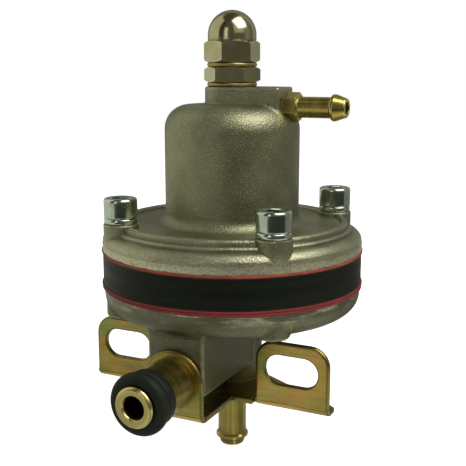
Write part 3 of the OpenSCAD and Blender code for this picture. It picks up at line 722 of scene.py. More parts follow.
def make_cast_alloy(name, dark, light, full, none, spread, painted_glint):
    """Blasted alloy casting: olive grey, sandy, brighter on its edges, with bright flecks as painted
    glints. It is scuffed bright from one height, where the scuffs are full, to another where there are
    none, and nicked along the first. The bright scuffs are partly scuffed metal and partly painted light."""
    look = Finish(name, 0.9)
    vector = look.place()
    skin = look.use(casting_skin, vector)
    wear_and_shade = look.use(edge_wear_and_shade, vector)["Wear And Shade"]
    darkening = look.use(hollow_darkening, vector)["Darkening"]
    height = look.parts(vector)["Z"]
    ragged = look.fused(look.noise(vector, 420.0, 3.0), 0.5 * MM, height)
    near_rim = look.ramp(ragged, none * MM, full * MM)
    drawn = look.place(body_offset, scale=(0.3, 0.3, 1.6))
    streak = look.ramp(look.noise(drawn, 380.0, 3.0), spread, spread + 0.2)
    speck = look.ramp(look.noise(vector, 2300.0, 2.0), 0.42, 0.62)
    # Bright scuffs near the rim: partly scuffed metal, partly painted light that brightens the skirt.
    scuff_and_painted_light = look.times(look.times(near_rim, streak), look.fused(speck, 0.5, 0.5))
    from_edge = look.maths("ABSOLUTE", look.maths("SUBTRACT", height, full * MM))
    nick_at = look.ramp(look.noise(drawn, 1300.0, 2.0), 0.56, 0.64)
    nick = look.times(look.ramp(from_edge, 0.4 * MM, 0.2 * MM), nick_at)
    # The bright flecks are painted glints.
    look.coat(look.mixed(skin["Cloud"], dark, light),
              (skin["Painted Glint"], painted_glint, linear(182, 179, 152)), (scuff_and_painted_light, 1.0, linear(214, 210, 180)),
              (wear_and_shade, 0.45, linear(164, 160, 134)), (darkening, 0.45, linear(54, 52, 38)),
              (nick, 0.7, linear(52, 42, 32)))
    look.feed("Roughness", look.fused(wear_and_shade, -0.06, look.fused(skin["Cloud"], 0.08, 0.35)))
    look.rise(skin["Height"], 0.8, 0.14 * MM)
    return look.material


def make_yellow_zinc():
    """Yellow passivated zinc on sheet steel, with fine scratches, and dark olive on its sharp edges as
    painted dark reflection.
    """
    look = Finish("yellow_zinc", 1.0)
    vector = look.place()
    film = look.use(passivation, vector)
    scratch = look.use(fine_scratches, vector)["Mask"]
    wear_and_shade = look.use(edge_wear_and_shade, vector)["Wear And Shade"]
    # Dark olive on the sharp edges is painted dark reflection that dims their highlights.
    look.coat(film["Colour"], (scratch, 0.4, linear(206, 196, 156)), (wear_and_shade, 0.6, linear(86, 77, 36)))
    look.feed("Roughness", look.fused(scratch, 0.1, look.fused(film["Cloud"], 0.22, 0.18)))
    grain = look.maths("ADD", look.noise(vector, 1500.0, 3.0), film["Rolled"])
    look.rise(look.fused(scratch, -0.5, grain), 0.12, 0.1 * MM)
    return look.material


def make_turned_metal(name, colours, rough, offset, turn=(0, 0, 0), bump=0.1, bright_end=None):
    """Metal turned on a lathe: lines round its own axis, slow stains and fine scratches. Below the bright
    end, along its axis, it is rubbed bright."""
    dark, light, edge = colours
    look = Finish(name, 1.0)
    vector = look.place(offset, turn)
    marks = look.use(turning_marks, vector)
    scratch = look.use(fine_scratches, vector, Density=180.0)["Mask"]
    darkening = look.use(hollow_darkening, vector, Patch=300.0)["Darkening"]
    rubbed = look.times(look.use(edge_wear_and_shade, vector)["Wear And Shade"], 0.35)
    if bright_end is not None:
        polished = look.ramp(look.parts(vector)["Z"], bright_end + 0.1 * MM, bright_end - 0.1 * MM)
        rubbed = look.maths("MAXIMUM", rubbed, look.times(polished, 0.75))
    look.coat(look.mixed(marks["Streak"], dark, light),
              (rubbed, 1.0, edge), (darkening, 0.2, shaded(dark, 0.25)))
    look.feed("Roughness", look.fused(marks["Streak"], 0.06, look.fused(darkening, 0.1, rough)))
    look.rise(look.fused(scratch, -0.6, marks["Height"]), bump, 0.06 * MM)
    return look.material


def make_plated(name, dark, light, rough, polish):
    """Bright plated metal: slow tint, faint scratches, duller patches and polishing lines round the body
    axis."""
    look = Finish(name, 1.0)
    vector = look.place()
    scratch = look.use(fine_scratches, vector, Density=200.0)["Mask"]
    wear_and_shade = look.use(edge_wear_and_shade, vector)["Wear And Shade"]
    darkening = look.use(hollow_darkening, vector, Patch=350.0)["Darkening"]
    lathe = look.use(turning_marks, look.place(body_offset), Lines=3600.0)["Height"]
    tint = look.ramp(look.noise(vector, 160.0, 3.0), 0.35, 0.65)
    look.coat(look.mixed(tint, dark, light),
              (wear_and_shade, 0.12, linear(226, 222, 204)), (darkening, 0.2, shaded(dark, 0.3)))
    look.feed("Roughness", look.fused(darkening, 0.12, look.fused(scratch, 0.12, rough)))
    grain = look.fused(lathe, polish, look.times(look.noise(vector, 300.0, 2.0), 0.5))
    look.rise(look.fused(scratch, -0.2, grain), 0.05, 0.06 * MM)
    return look.material


def make_black_alloy():
    """Black anodised alloy, turned, with grey wear on its edges."""
    look = Finish("black_alloy", 0.0, 0.15, green_sheen)
    vector = look.place(body_offset)
    marks = look.use(turning_marks, vector, Lines=3200.0)
    wear_and_shade = look.use(edge_wear_and_shade, vector)["Wear And Shade"]
    scratch = look.use(fine_scratches, vector, Density=110.0)["Mask"]
    look.coat(look.mixed(marks["Streak"], linear(11, 13, 9), linear(18, 20, 14)),
              (scratch, 0.12, linear(90, 90, 80)), (wear_and_shade, 0.12, linear(96, 95, 84)))
    look.feed("Roughness", look.fused(marks["Streak"], 0.1, 0.42))
    look.rise(marks["Height"], 0.15, 0.05 * MM)
    return look.material


def make_threaded_steel():
    """Steel with a right-hand thread round the body axis: its height folds up and down once for each lead,
    and its start moves with the angle round the axis. Its grooves are painted dark as painted shade."""
    look = Finish("threaded_steel", 1.0)
    vector = look.place(body_offset)
    x, y, z = look.parts(vector)
    around = look.maths("DIVIDE", look.maths("ARCTAN2", y, x), 2 * math.pi)
    along = look.maths("SUBTRACT", look.maths("DIVIDE", z, adjuster_lead * MM), around)
    flank = look.maths("PINGPONG", along, 0.5)
    stain = look.noise(vector, 420.0, 4.0, 0.6)
    ground = look.mixed(look.ramp(stain, 0.35, 0.7), linear(126, 124, 116), linear(150, 148, 140))
    # Dark in the thread's grooves: painted shade.
    look.coat(ground, (look.ramp(flank, 0.2, 0.04), 1.0, linear(58, 55, 46)))
    look.feed("Roughness", look.fused(stain, 0.2, 0.22))
    look.rise(flank, 1.0, 1.2 * adjuster_lead * MM)
    return look.material


def make_rubber(name, dark, light, rough=0.6):
    """Moulded rubber: fine grain, chalky bloom in clouds, paler rubbed edges."""
    look = Finish(name, 0.0, 0.25, green_sheen)
    vector = look.place()
    wear_and_shade = look.use(edge_wear_and_shade, vector, Reach=0.5)["Wear And Shade"]
    bloom = look.ramp(look.noise(vector, 260.0, 4.0, 0.6), 0.35, 0.75)
    look.coat(look.mixed(bloom, dark, light), (wear_and_shade, 0.3, shaded(light, 1.6)))
    look.feed("Roughness", look.fused(bloom, 0.15, rough))
    look.rise(look.noise(vector, 1800.0, 3.0), 0.3, 0.08 * MM)
    return look.material


brass_colours = (linear(143, 129, 69), linear(155, 141, 78), linear(214, 199, 132))
tail_colours = (linear(176, 159, 85), linear(188, 171, 95), linear(226, 210, 140))
washer_colours = (linear(122, 108, 58), linear(142, 126, 70), linear(190, 174, 118))
lip_back = tab_face - stub_end + lip_t
bell_alloy = make_cast_alloy("bell_alloy", linear(119, 119, 90), linear(137, 137, 108),
                             flange_z, flange_z + skirt_foot + skirt_r + 1.2, 0.22, 0.55)
# The lower casting is the same alloy as the bell with a darker ground: painted shade.
shaded_lower_alloy = make_cast_alloy("shaded_lower_alloy", linear(102, 101, 81), linear(117, 116, 95),
                              joint_z, joint_z - rim_h - 1.8, 0.5, 0.25)
yellow_zinc = make_yellow_zinc()
inlet_brass = make_turned_metal("inlet_brass", brass_colours, 0.24, (0, inlet_z * MM, 0),
                                (math.pi / 2, 0, 0), 0.04, lip_back * MM)
outlet_brass = make_turned_metal("outlet_brass", brass_colours, 0.19, body_offset, bump=0.02)
vacuum_brass = make_turned_metal("vacuum_brass", tail_colours, 0.22, (vacuum_z * MM, -axis_y * MM, 0),
                                 (0, -math.pi / 2, 0), 0.008)
washer_brass = make_turned_metal("washer_brass", washer_colours, 0.36, body_offset)
nickel = make_plated("nickel", linear(165, 160, 121), linear(179, 174, 137), 0.15, 2.2)
zinc_steel = make_plated("zinc_steel", linear(172, 184, 168), linear(196, 206, 194), 0.13, 0.0)
plain_steel = make_plated("plain_steel", linear(140, 140, 142), linear(160, 160, 162), 0.3, 0.5)
threaded_steel = make_threaded_steel()
black_alloy = make_black_alloy()
black_rubber = make_rubber("black_rubber", linear(16, 17, 13), linear(26, 28, 21), 0.55)
maroon_rubber = make_rubber("maroon_rubber", linear(92, 25, 28), linear(116, 36, 38))
orange_rubber = make_rubber("orange_rubber", linear(92, 40, 29), linear(140, 62, 44))

slot_finish = {"cast_alloy": shaded_lower_alloy, "yellow_zinc": yellow_zinc, "brass": outlet_brass,
               "washer_brass": washer_brass, "nickel": nickel, "zinc_steel": zinc_steel,
               "plain_steel": plain_steel, "black_alloy": black_alloy, "black_rubber": black_rubber,
               "maroon_rubber": maroon_rubber, "orange_rubber": orange_rubber}

bodies = frame["record"]["behaviour"]["bodies"]
body_of = {node: body for body, members in bodies.items() for node in members}
slot_of = {row["node"]: row["material_slot"] for row in frame["record"]["subparts"]}


# Pieces: from surfaces to objects

support_near = 0.18
wear_reach = 0.5 * MM
weld = 0.002 * MM
sliver = 0.0005 * MM
bevel_from = math.radians(24)


def grid_faces(rows, columns, closed_rows):
    """Quads of a grid whose columns close on themselves, and whose rows do if asked."""
    row = np.arange(rows if closed_rows else rows - 1)
    i, j = np.meshgrid(row, np.arange(columns), indexing="ij")
    below = (i + 1) % rows
    beside = (j + 1) % columns
    corners = [i * columns + j, i * columns + beside, below * columns + beside, below * columns + j]
    return np.stack(corners, -1).reshape(-1, 4)


def with_support(grid, closed_rows):
    """Adds rows close to both ends of every long step between rows, so that what is marked on an edge stays
    near it."""
    ahead = np.roll(grid, -1, axis=0) if closed_rows else grid[1:]
    step = ahead - grid[:len(ahead)]
    length = np.linalg.norm(step, axis=2, keepdims=True)
    share = np.minimum(support_near / np.maximum(length, 1e-9), 0.2)
    rows = []
    for row, move, part, longest in zip(grid, step, share, length.max(axis=(1, 2))):
        rows.append(row)
        if longest > 5 * support_near:
            rows += [row + move * place_on for place_on in (part, 2 * part, 1 - 2 * part, 1 - part)]
    if not closed_rows:
        rows.append(grid[-1])
    return np.stack(rows)


def mark_edges(mesh):
    """Writes crest and hollow on every point: the strongest outward and inward bend of the edges that meet
    there (change of normal along the edge over its length), times half a millimetre, held from 0 to 1."""
    count = len(mesh.vertices)
    place_of = np.empty(count * 3, np.float32)
    mesh.vertices.foreach_get("co", place_of)
    normal = np.empty(count * 3, np.float32)
    mesh.vertex_normals.foreach_get("vector", normal)
    ends = np.empty(len(mesh.edges) * 2, np.int32)
    mesh.edges.foreach_get("vertices", ends)
    place_of, normal, ends = place_of.reshape(-1, 3), normal.reshape(-1, 3), ends.reshape(-1, 2)
    step = place_of[ends[:, 1]] - place_of[ends[:, 0]]
    change = normal[ends[:, 1]] - normal[ends[:, 0]]
    bend = (change * step).sum(1) / np.maximum((step ** 2).sum(1), 1e-12) * wear_reach
    for label, value in (("crest", bend), ("hollow", -bend)):
        strongest = np.zeros(count, np.float32)
        np.maximum.at(strongest, ends[:, 0], value)
        np.maximum.at(strongest, ends[:, 1], value)
        attribute = mesh.attributes.new(label, "FLOAT", "POINT")
        attribute.data.foreach_set("value", np.clip(strongest, 0, 1))


def make_piece(name, node, grids, finish, sharp=35, bevel=0.0, across=None):
    """Joins grids of points, in millimetres, into one mesh that stands for a CAD node. It rides on the
    node's body; a piece given a joint (from one body at a start point to another at an end point) is left
    in place without a body, and nothing bends it. Each grid is its points and whether its rows close too.
    Doubles are merged and faces turned outwards."""
    grids = [(with_support(grid, closed), closed) for grid, closed in grids]
    points = np.concatenate([grid.reshape(-1, 3) for grid, closed in grids]) * MM
    sizes = [grid.shape[0] * grid.shape[1] for grid, closed in grids]
    starts = np.cumsum([0] + sizes[:-1])
    faces = np.concatenate([grid_faces(*grid.shape[:2], closed) + start
                            for (grid, closed), start in zip(grids, starts)])
    mesh = bpy.data.meshes.new(name)
    mesh.from_pydata(points.tolist(), [], faces.tolist())
    work = bmesh.new()
    work.from_mesh(mesh)
    bmesh.ops.remove_doubles(work, verts=work.verts, dist=weld)
    bmesh.ops.dissolve_degenerate(work, edges=work.edges, dist=sliver)
    bmesh.ops.recalc_face_normals(work, faces=work.faces)
    work.to_mesh(mesh)
    work.free()
    mesh.shade_smooth()
    mesh.set_sharp_from_angle(angle=math.radians(sharp))
    mark_edges(mesh)
    mesh.materials.append(finish)
    piece = bpy.data.objects.new(name, mesh)
    bpy.context.scene.collection.objects.link(piece)
    if bevel:
        edge = piece.modifiers.new("edge", "BEVEL")
        edge.width = bevel * MM
        edge.segments = 2
        edge.limit_method = "ANGLE"
        edge.angle_limit = bevel_from
        edge.harden_normals = True
    if across:
        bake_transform(piece)
    else:
        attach(piece, body_of[node])
    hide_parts(node)


# Pieces: castings

def bell_grid():
    """Bell, flange and hollow: one closed outline carried round the body axis."""
    fillet_mid = bell_r + bell_fillet
    shoulder = shoulder_r * arc(90, 0, 13) + [bell_r - shoulder_r, bell_h - shoulder_r]
    fillet = bell_fillet * arc(180, 270, 11) + [fillet_mid, plateau_h - plateau_dish + bell_fillet]
    skirt_step = np.linspace(0, np.pi / 2, 14)
    fine_from = inner_bead_r - 1.8
    skirt_in = 0.1
    radius = np.concatenate([np.linspace(fillet_mid, fine_from - 0.1, 6)[1:],
                             np.linspace(fine_from, flange_r - skirt_r, 72),
                             flange_r - skirt_r + (skirt_r - skirt_in) * np.sin(skirt_step)[1:]])
    flange = np.stack([radius, flange_top(radius)], 1)
    flange[-1] = [flange_r - skirt_in, skirt_foot]
    rim = [[flange_r - 0.02, skirt_foot - 0.03], [flange_r, skirt_foot - 0.12]]
    rim += broken_edge(flange_r, 0, 1, drop=0.04)[::-1]
    bore_r = bell_r - bell_wall
    hollow = [[chamber_r, 0], [chamber_r, recess_h], [bore_r + recess_bevel, recess_h],
              [bore_r, recess_h + recess_bevel], [bore_r, bell_h - bell_top_t],
              [thread_r, bell_h - bell_top_t], [thread_r, bell_h]]
    return on_axis(turned(np.concatenate([shoulder, fillet, flange, rim, hollow]), 192), flange_z)


def screw_seat_grid(angle):
    """Screw seat: a round wall with an eased top edge, whose fillet foot lies on the flange under it."""
    ease = screw_seat_ease
    centre = bolt_r * np.array([np.cos(angle), np.sin(angle)])
    top = seat_z - flange_z
    hidden = 0.5

    def plan_at(out, limit=flange_r - 0.02):
        return held_in(centre + (screw_seat_r + out) * circle(96), limit)

    def height_at(radius, up):
        ground = flange_top(radius)
        return np.minimum(ground + up, np.maximum(top - ease, ground))

    hole = screw_hole_r - screw_seat_r
    rows = [level_row(plan_at(out), height) for out, height in (
        (hole, hidden), (hole, top), (-ease, top), (-ease * 0.3, top - ease * 0.3))]
    wall = plan_at(0)
    rows.append(level_row(wall, np.maximum(top - ease, flange_top(from_axis(wall)))))
    rows += foot_rows(plan_at, screw_seat_fillet, height_at)
    rows.append(level_row(plan_at(0, flange_r - 0.1), hidden))
    return on_axis(np.stack(rows), flange_z)


def boss_plan():
    """Plan of the top boss: an arc round the adjuster and two tangents drawn in to the end face."""
    reach = math.hypot(boss_reach, boss_end_half)
    touch = math.degrees(math.atan2(boss_end_half, boss_reach) + math.acos(boss_r / reach))
    back = boss_r * arc(touch, 360 - touch, 49)
    end = rounded([back[-1], [boss_reach, -boss_end_half], [boss_reach, boss_end_half], back[0]],
                  [boss_corner_r, boss_corner_r])
    return divided(np.concatenate([back, end[1:-1]]), 0.4)


def boss_grid():
    """Top boss: its plan carried up from a fillet foot on the bell's shoulder, with an eased top edge. Its
    hidden rows stay over the bell's hollow."""
    plan = boss_plan()
    plan_at = plan_offset(plan)
    top = boss_top_z - flange_z
    hidden = bell_h - bell_top_t + 0.3
    bore = drawn_to(plan, thread_r)
    rows = [level_row(bore, hidden), level_row(bore, top)]
    rows += eased_rows(plan_at, boss_ease, top, -1)
    rows += foot_rows(plan_at, boss_fillet, lambda radius, up: bell_top(radius) + up)
    rows.append(level_row(plan * 0.9, hidden))
    return on_axis(np.stack(rows), flange_z)


def lower_grid():
    """Bowl, column and fuel chamber: one closed outline carried round the body axis."""
    corner_mid = lower_rim_r - bowl_corner_r
    corner = corner_mid + bowl_corner_r * np.sin(np.linspace(np.pi / 2, 0, 15))
    radius = np.concatenate([corner, np.linspace(corner_mid, bowl_flat_r, 14)[1:]])
    under = np.stack([radius, bowl_low(radius)], 1)
    low = -rim_h - bowl_depth
    column_low = base_top - joint_z
    foot = rounded([[bowl_flat_r, low], [column_r, low], [column_r, column_low]], [column_fillet])[1:]
    rim = broken_edge(lower_rim_r, 0, -1, inset=0.03)
    floor = low + chamber_floor
    inside = [[tail_r, column_low], [tail_r, floor], [chamber_r, floor], [chamber_r, 0]]
    return on_axis(turned(np.concatenate([rim, under, foot, inside]), 192), joint_z)


def arm_grid():
    """Inlet arm: a plan with rounded front edges, from an eased underside to a fillet on the bowl."""
    corners = [[-arm_half, 0], [-arm_half, arm_front], [arm_half, arm_front], [arm_half, 0]]
    plan = divided(rounded(corners, [arm_edge, arm_edge]), 0.5)
    plan_at = plan_offset(plan)
    middle = np.array([[0, arm_front / 2]]) + 0 * plan
    low = arm_low - joint_z
    rows = [level_row(middle, low)] + eased_rows(plan_at, arm_ease, low, 1)
    rows += foot_rows(plan_at, arm_fillet, lambda radius, down: bowl_low(radius) - down)
    rows.append(level_row(middle, -rim_h - bowl_depth + chamber_floor / 2))
    return on_axis(np.stack(rows), joint_z)


def lower_boss_grid(angle):
    """Lower screw boss: a round foot hanging from a fillet under the bowl's rim."""
    centre = bolt_r * np.array([np.cos(angle), np.sin(angle)])
    middle = centre + 0 * circle(72)
    low = -lower_boss_h

    def plan_at(out):
        return held_in(centre + (lower_boss_r + out) * circle(72), lower_rim_r)

    def height_at(radius, down):
        return np.maximum(bowl_low(radius) - down, low)

    rows = [level_row(middle, low)] + eased_rows(plan_at, lower_boss_ease, low, 1, 6)
    rows += foot_rows(plan_at, lower_boss_fillet, height_at)
    rows.append(level_row(middle, -rim_h))
    return on_axis(np.stack(rows), joint_z)


bell_grids = [(bell_grid(), True), (boss_grid(), True)]
bell_grids += [(screw_seat_grid(a), True) for a in screw_angles]
lower_grids = [(lower_grid(), True), (arm_grid(), False)]
lower_grids += [(lower_boss_grid(a), False) for a in screw_angles]
make_piece("bell_casting", "bell_housing", bell_grids, bell_alloy, sharp=45)
make_piece("lower_casting", "lower_body", lower_grids, shaded_lower_alloy, sharp=45)


# Pieces: bracket

def base_plan():
    """Plan of the base: tongue, relief, wing with a bevelled tip and round back, and their mirror."""
    fold_y = bend_out - sheet_overlap
    relief_x = ear_in - relief_w
    front = np.array([[tongue_half, tab_face + fold_y], [tongue_half, 0], [relief_x, 0], [relief_x, fold_y],
                      [ear_out, fold_y], [ear_out, wing_tip],
                      [ear_out - wing_bevel_w, wing_tip + wing_bevel]])
    right = np.concatenate([front - [0, axis_y], base_round_r * arc(base_round_from, 90, 12)])
    left = right[-2::-1] * [-1, 1]
    return divided(np.concatenate([right, left]), 0.6)


def base_grid():
    """Base of the bracket: a sheet between the tail's hole and its plan, met by rays from the body axis."""
    outer = base_plan()
    inner = drawn_to(outer, tail_r + base_hole_room)
    return on_axis(pierced_sheet(inner, outer, cut_edge, cut_edge), base_low)


def ear_grid(side):
    """Ear of the bracket: an upright sheet with round upper corners, between its slot and its outline."""
    bottom = base_low + bend_out - sheet_edge - sheet_overlap
    corners = [[slot_x, bottom], [ear_out, bottom], [ear_out, ear_top], [ear_in, ear_top], [ear_in, bottom],
               [slot_x - 0.1, bottom]]
    plan = rounded(corners, [hidden_corner_r, ear_corner_r, ear_corner_r, hidden_corner_r], 12)
    outer = divided(plan, 0.4) - [slot_x, 0]
    flat = pierced_sheet(slot_plan(drawn_to(outer, 1)), outer, cut_edge, sheet_edge)
    u, v, w = np.moveaxis(flat, -1, 0)
    return np.stack([side * (u + slot_x), w, v], -1)


def tab_grid():
    """Front tab: an upright sheet with a round top, between the stub's hole and its outline."""
    bottom = base_low + bend_out - sheet_edge - sheet_overlap - inlet_z
    right = rounded([[0, bottom], [tongue_half, bottom], [tongue_half, 0]], [hidden_corner_r])[:-1]
    left = right[:0:-1] * [-1, 1]
    outer = divided(np.concatenate([right, tongue_half * arc(0, 180, 33), left]), 0.5)
    flat = pierced_sheet(drawn_to(outer, spigot_r), outer, cut_edge, sheet_edge)
    u, v, w = np.moveaxis(flat, -1, 0)
    return np.stack([u, tab_face + w, inlet_z + v], -1)


bracket_grids = [(base_grid(), True), (ear_grid(1), True), (ear_grid(-1), True), (tab_grid(), True)]
bracket_grids += [(fold(ear_in, ear_out), False), (fold(-ear_out, -ear_in), False)]
bracket_grids += [(fold(-tongue_half, tongue_half) + [0, tab_face, 0], False)]
make_piece("folded_bracket", "bracket", bracket_grids, yellow_zinc, sharp=40)


# Pieces: clamped layers

def layer_grid(node, waves, ragged):
    """Thin layer with a soft edge that wanders inwards: its outer radius less a sum of slow waves."""
    low, high = low_of(node), high_of(node)
    angle = np.linspace(0, 2 * np.pi, layer_points, endpoint=False)
    wander = sum(1 + np.cos(count * angle + phase) for count, phase in waves) / (2 * len(waves))
    outer = layer_r - ragged * wander
    edge = (high - low) / 2
    steps = [(chamber_r + 0 * angle, low)]
    for across, up in arc(-90, 90, 9):
        steps.append((outer - edge * layer_swell * (1 - across), low + edge + edge * up))
    steps.append((chamber_r + 0 * angle, high))
    ways = circle(layer_points)
    return on_axis(np.stack([level_row(radius[:, None] * ways, height) for radius, height in steps]))


def sector_grid(node, first, last):
    """Part of a diaphragm inside its clamped edge: a flat section from the centre hole to the chamber's
    wall, carried through an angle in degrees and closed at both ends on its middle."""
    low, high = low_of(node), high_of(node)
    out = np.linspace(centre_hole_r, chamber_r, 23)
    radius = np.concatenate([out, out[::-1]])
    height = np.concatenate([low + 0 * out, high + 0 * out])
    middle = (low + high) / 2 + 0 * radius
    ways = arc(first, last, 25)
    sections = [(ways[0], middle)] + [(way, height) for way in ways] + [(ways[-1], middle)]
    return on_axis(np.stack([level_row(radius[:, None] * way, level) for way, level in sections]))


def make_flexing_middle(name, node, finish):
    """Middle of a diaphragm, in equal sectors, each given a joint along its own middle direction, from the
    plates' edge to the chamber's wall; nothing bends them."""
    half = 180 / sector_count
    wall_r = chamber_r * math.cos(math.radians(half))
    for index, way in enumerate(circle(sector_count)):
        toward = np.array([*way, 0])
        turn = 2 * half * index
        grid = sector_grid(node, turn - half, turn + half)
        bend = ("diaphragm_group", "housing", on_axis(toward * plate_r), on_axis(toward * wall_r))
        make_piece(f"{name}_{index + 1}", node, [(grid, False)], finish, sharp=60, across=bend)


def spacer_grid():
    """Spacer ring: a turned wall with broken edges and one fine groove in its upper half."""
    low, high = low_of("spacer_ring"), high_of("spacer_ring")
    middle = high - (high - low) * groove_share
    groove = [[ring_r, middle - groove_half], [ring_r - groove_depth, middle],
              [ring_r, middle + groove_half]]
    outline = [[chamber_r, low]] + broken_edge(ring_r, low, 1) + groove
    outline += broken_edge(ring_r, high, -1)[::-1] + [[chamber_r, high]]
    return on_axis(turned(outline, 192))


for name, node, finish, waves, ragged in (
        ("gasket_layer", "lower_gasket", maroon_rubber, ((3, 0.4), (7, 2.0), (17, 1.0)), 0.2),
        ("lower_diaphragm_edge", "lower_diaphragm", maroon_rubber, ((2, 1.4), (9, 0.3), (19, 2.2)), 0.24),
        ("upper_diaphragm_edge", "upper_diaphragm", orange_rubber, ((4, 0.9), (11, 1.2), (23, 0.1)), 0.26)):
    make_piece(name, node, [(layer_grid(node, waves, ragged), True)], finish, sharp=60)
make_flexing_middle("lower_diaphragm_middle", "lower_diaphragm", maroon_rubber)
make_flexing_middle("upper_diaphragm_middle", "upper_diaphragm", orange_rubber)
make_piece("spacer", "spacer_ring", [(spacer_grid(), True)], black_alloy, sharp=30)


# Pieces: fasteners

def cap_screw_grid(angle):
    """Socket cap screw: shank, head with an eased edge, and a hexagon socket ending in a drill point."""
    top = head_top_z
    outline = [[0, screw_end_z], [screw_r - screw_point, screw_end_z], [screw_r, screw_end_z + screw_point],
               [screw_r, head_z]] + broken_edge(head_r, head_z, 1, 0.25, 0.06, 0.07)
    room = 2 * head_ease_r
    ease = rounded([[head_r, top - room], [head_r, top], [head_r - room, top]], [head_ease_r])[1:-1]
    mouth = [[socket_af / math.sqrt(3) + socket_mouth, top]]
    socket = hexagon(socket_af, screw_turn)
    rows = round_rows(np.concatenate([outline, ease, mouth]), screw_turn)
    rows += [level_row(socket * 1.04, top - 0.05), level_row(socket, top - 0.25),
             level_row(socket, top - socket_depth),
             level_row(socket * 0, top - socket_depth - drill_point)]
    return at_screw(np.stack(rows), angle)


def spring_washer_grid(angle):
    """Split washer: a square section with eased corners carried round, its ends cut on the slant."""
    inner = screw_hole_r
    outer = head_r - split_inset
    high = head_z - seat_z
    centre = (inner + outer) / 2
    corners = [[centre, 0], [outer, 0], [outer, high], [inner, high], [inner, 0], [centre - 0.05, 0]]
    section = rounded(corners, [split_ease] * 4, 3)
    middle = np.array([[centre, high / 2]]) + 0 * section
    along = np.linspace(split_gap / 2, 2 * np.pi - split_gap / 2, 61)
    rows = []
    for turn, loop in [(along[0], middle)] + [(a, section) for a in along] + [(along[-1], middle)]:
        radius, height = loop.T
        slant = (height / high - 0.5) * split_gap * split_slant
        around = turn + slant + split_spread * angle + split_turn
        rows.append(np.stack([radius * np.cos(around), radius * np.sin(around), height], 1))
    return at_screw(np.stack(rows), angle, seat_z)


def washer_grid(node):
    """Sealing washer: flat faces and a round outer edge."""
    low, high = low_of(node), high_of(node)
    half = (high - low) / 2
    edge = half * arc(-90, 90, 11) + [washer_r - half, low + half]
    hole_r = thread_r + washer_room
    return on_axis(turned(np.concatenate([[[hole_r, low]], edge, [[hole_r, high]]]), 96))


def lock_nut_grid():
    """Lock nut: a hexagon with both faces turned to a cone, and its thread's bore."""
    low, high = low_of("lock_nut"), high_of("lock_nut")
    rows = round_rows([[thread_r, low]], lock_nut_turn)
    rows += hexagon_rows(nut_af, low, high, lock_nut_turn)
    rows += round_rows([[thread_r, high]], lock_nut_turn)
    return on_axis(np.stack(rows))


def dome_nut_grid():
    """Dome nut: blind bore, hexagon, a turned neck and a half sphere."""
    low, high = low_of("dome_nut"), high_of("dome_nut")
    neck = low + dome_hex_h
    middle = neck + dome_skirt_h
    bore = [[0, high - dome_wall], [thread_r, high - dome_wall], [thread_r, low]]
    wall = [[dome_r - 0.12, neck + 0.02], [dome_r, neck + 0.25], [dome_r, middle - 0.6]]
    dome = arc(0, 90, 25) * [dome_r, high - middle] + [0, middle]
    rows = round_rows(bore, dome_nut_turn) + hexagon_rows(nut_af, low, neck, dome_nut_turn)
    rows += round_rows(np.concatenate([wall, dome]), dome_nut_turn)
    return on_axis(np.stack(rows))


screw_grids = [(cap_screw_grid(a), False) for a in screw_angles]
split_grids = [(spring_washer_grid(a), False) for a in screw_angles]
make_piece("socket_screws", "cap_screws", screw_grids, zinc_steel, sharp=40)
make_piece("split_washers", "spring_washers", split_grids, zinc_steel)
for name, node in (("lock_washer", "lock_nut_washer"), ("dome_washer_ring", "dome_nut_washer")):
    make_piece(name, node, [(washer_grid(node), True)], washer_brass)
make_piece("lock_nut_hexagon", "lock_nut", [(lock_nut_grid(), True)], nickel, sharp=30, bevel=0.14)
make_piece("dome_cap_nut", "dome_nut", [(dome_nut_grid(), False)], nickel, sharp=30, bevel=0.14)


# Pieces: stub and tails

def stub_grid():
    """Inlet stub: spigot, body with an eased edge, neck, rounded end lip and a countersunk hole."""
    end = stub_end
    root_r = spigot_r - spigot_room
    root = [[inlet_hole_r, -spigot_len], [root_r, -spigot_len], [root_r, 0]]
    body = rounded([[root_r, 0], [stub_r, 0], [stub_r, stub_body_len], [neck_r, stub_body_len]],
                   [0.25, 0.12], 4)[1:]
    lip = rounded([[neck_r, end - lip_t], [lip_r, end - lip_t], [lip_r, end], [inlet_hole_r + 0.35, end],
                   [inlet_hole_r, end - 0.5], [inlet_hole_r, end - bore_shown]], [0.3, 0.8, 0.3, 0.2])
    return on_inlet(turned(np.concatenate([root, body, lip]), 128))


def backing_grid():
    """Backing ring: a square section with soft corners."""
    low = stub_body_len
    high = low + backing_w
    outline = rounded([[neck_r, low], [backing_r, low], [backing_r, high], [neck_r, high]], [0.55, 0.7])
    return on_inlet(turned(outline, 128))


def o_ring_grid():
    """O-ring: a round section carried round the inlet axis."""
    middle = [neck_r + o_ring_half, stub_body_len + backing_w + o_ring_half]
    return on_inlet(turned(o_ring_half * circle(32) + middle, 128))


def tail_grid():
    """Outlet tail: hexagon collar, straight pipe, bead with a land between two slopes, drawn-in end, hole.
    Heights run down from the bracket's underside."""
    length = base_low - tail_end_z
    bead = length - tail_bead_up
    slope = tail_bead_r - tail_r
    rows = round_rows([[tail_hole_r, -tail_root], [tail_r, -tail_root], [tail_r, 0]], 0)
    rows += hexagon_rows(collar_af, 0, collar_h, 0)
    pipe = rounded([[tail_r + 0.6, collar_h], [tail_r, collar_h], [tail_r, bead - tail_land - slope],
                    [tail_bead_r, bead - tail_land], [tail_bead_r, bead], [tail_r - 0.15, bead + slope],
                    [tail_end_r, length], [tail_hole_r, length], [tail_hole_r, length - bore_shown]],
                   [0.3, 0.3, 0.2, 0.2, 0.1, 0.35, 0.1], 4)
    rows += round_rows(pipe, 0)
    return on_axis(np.stack(rows) * [1, 1, -1], base_low)


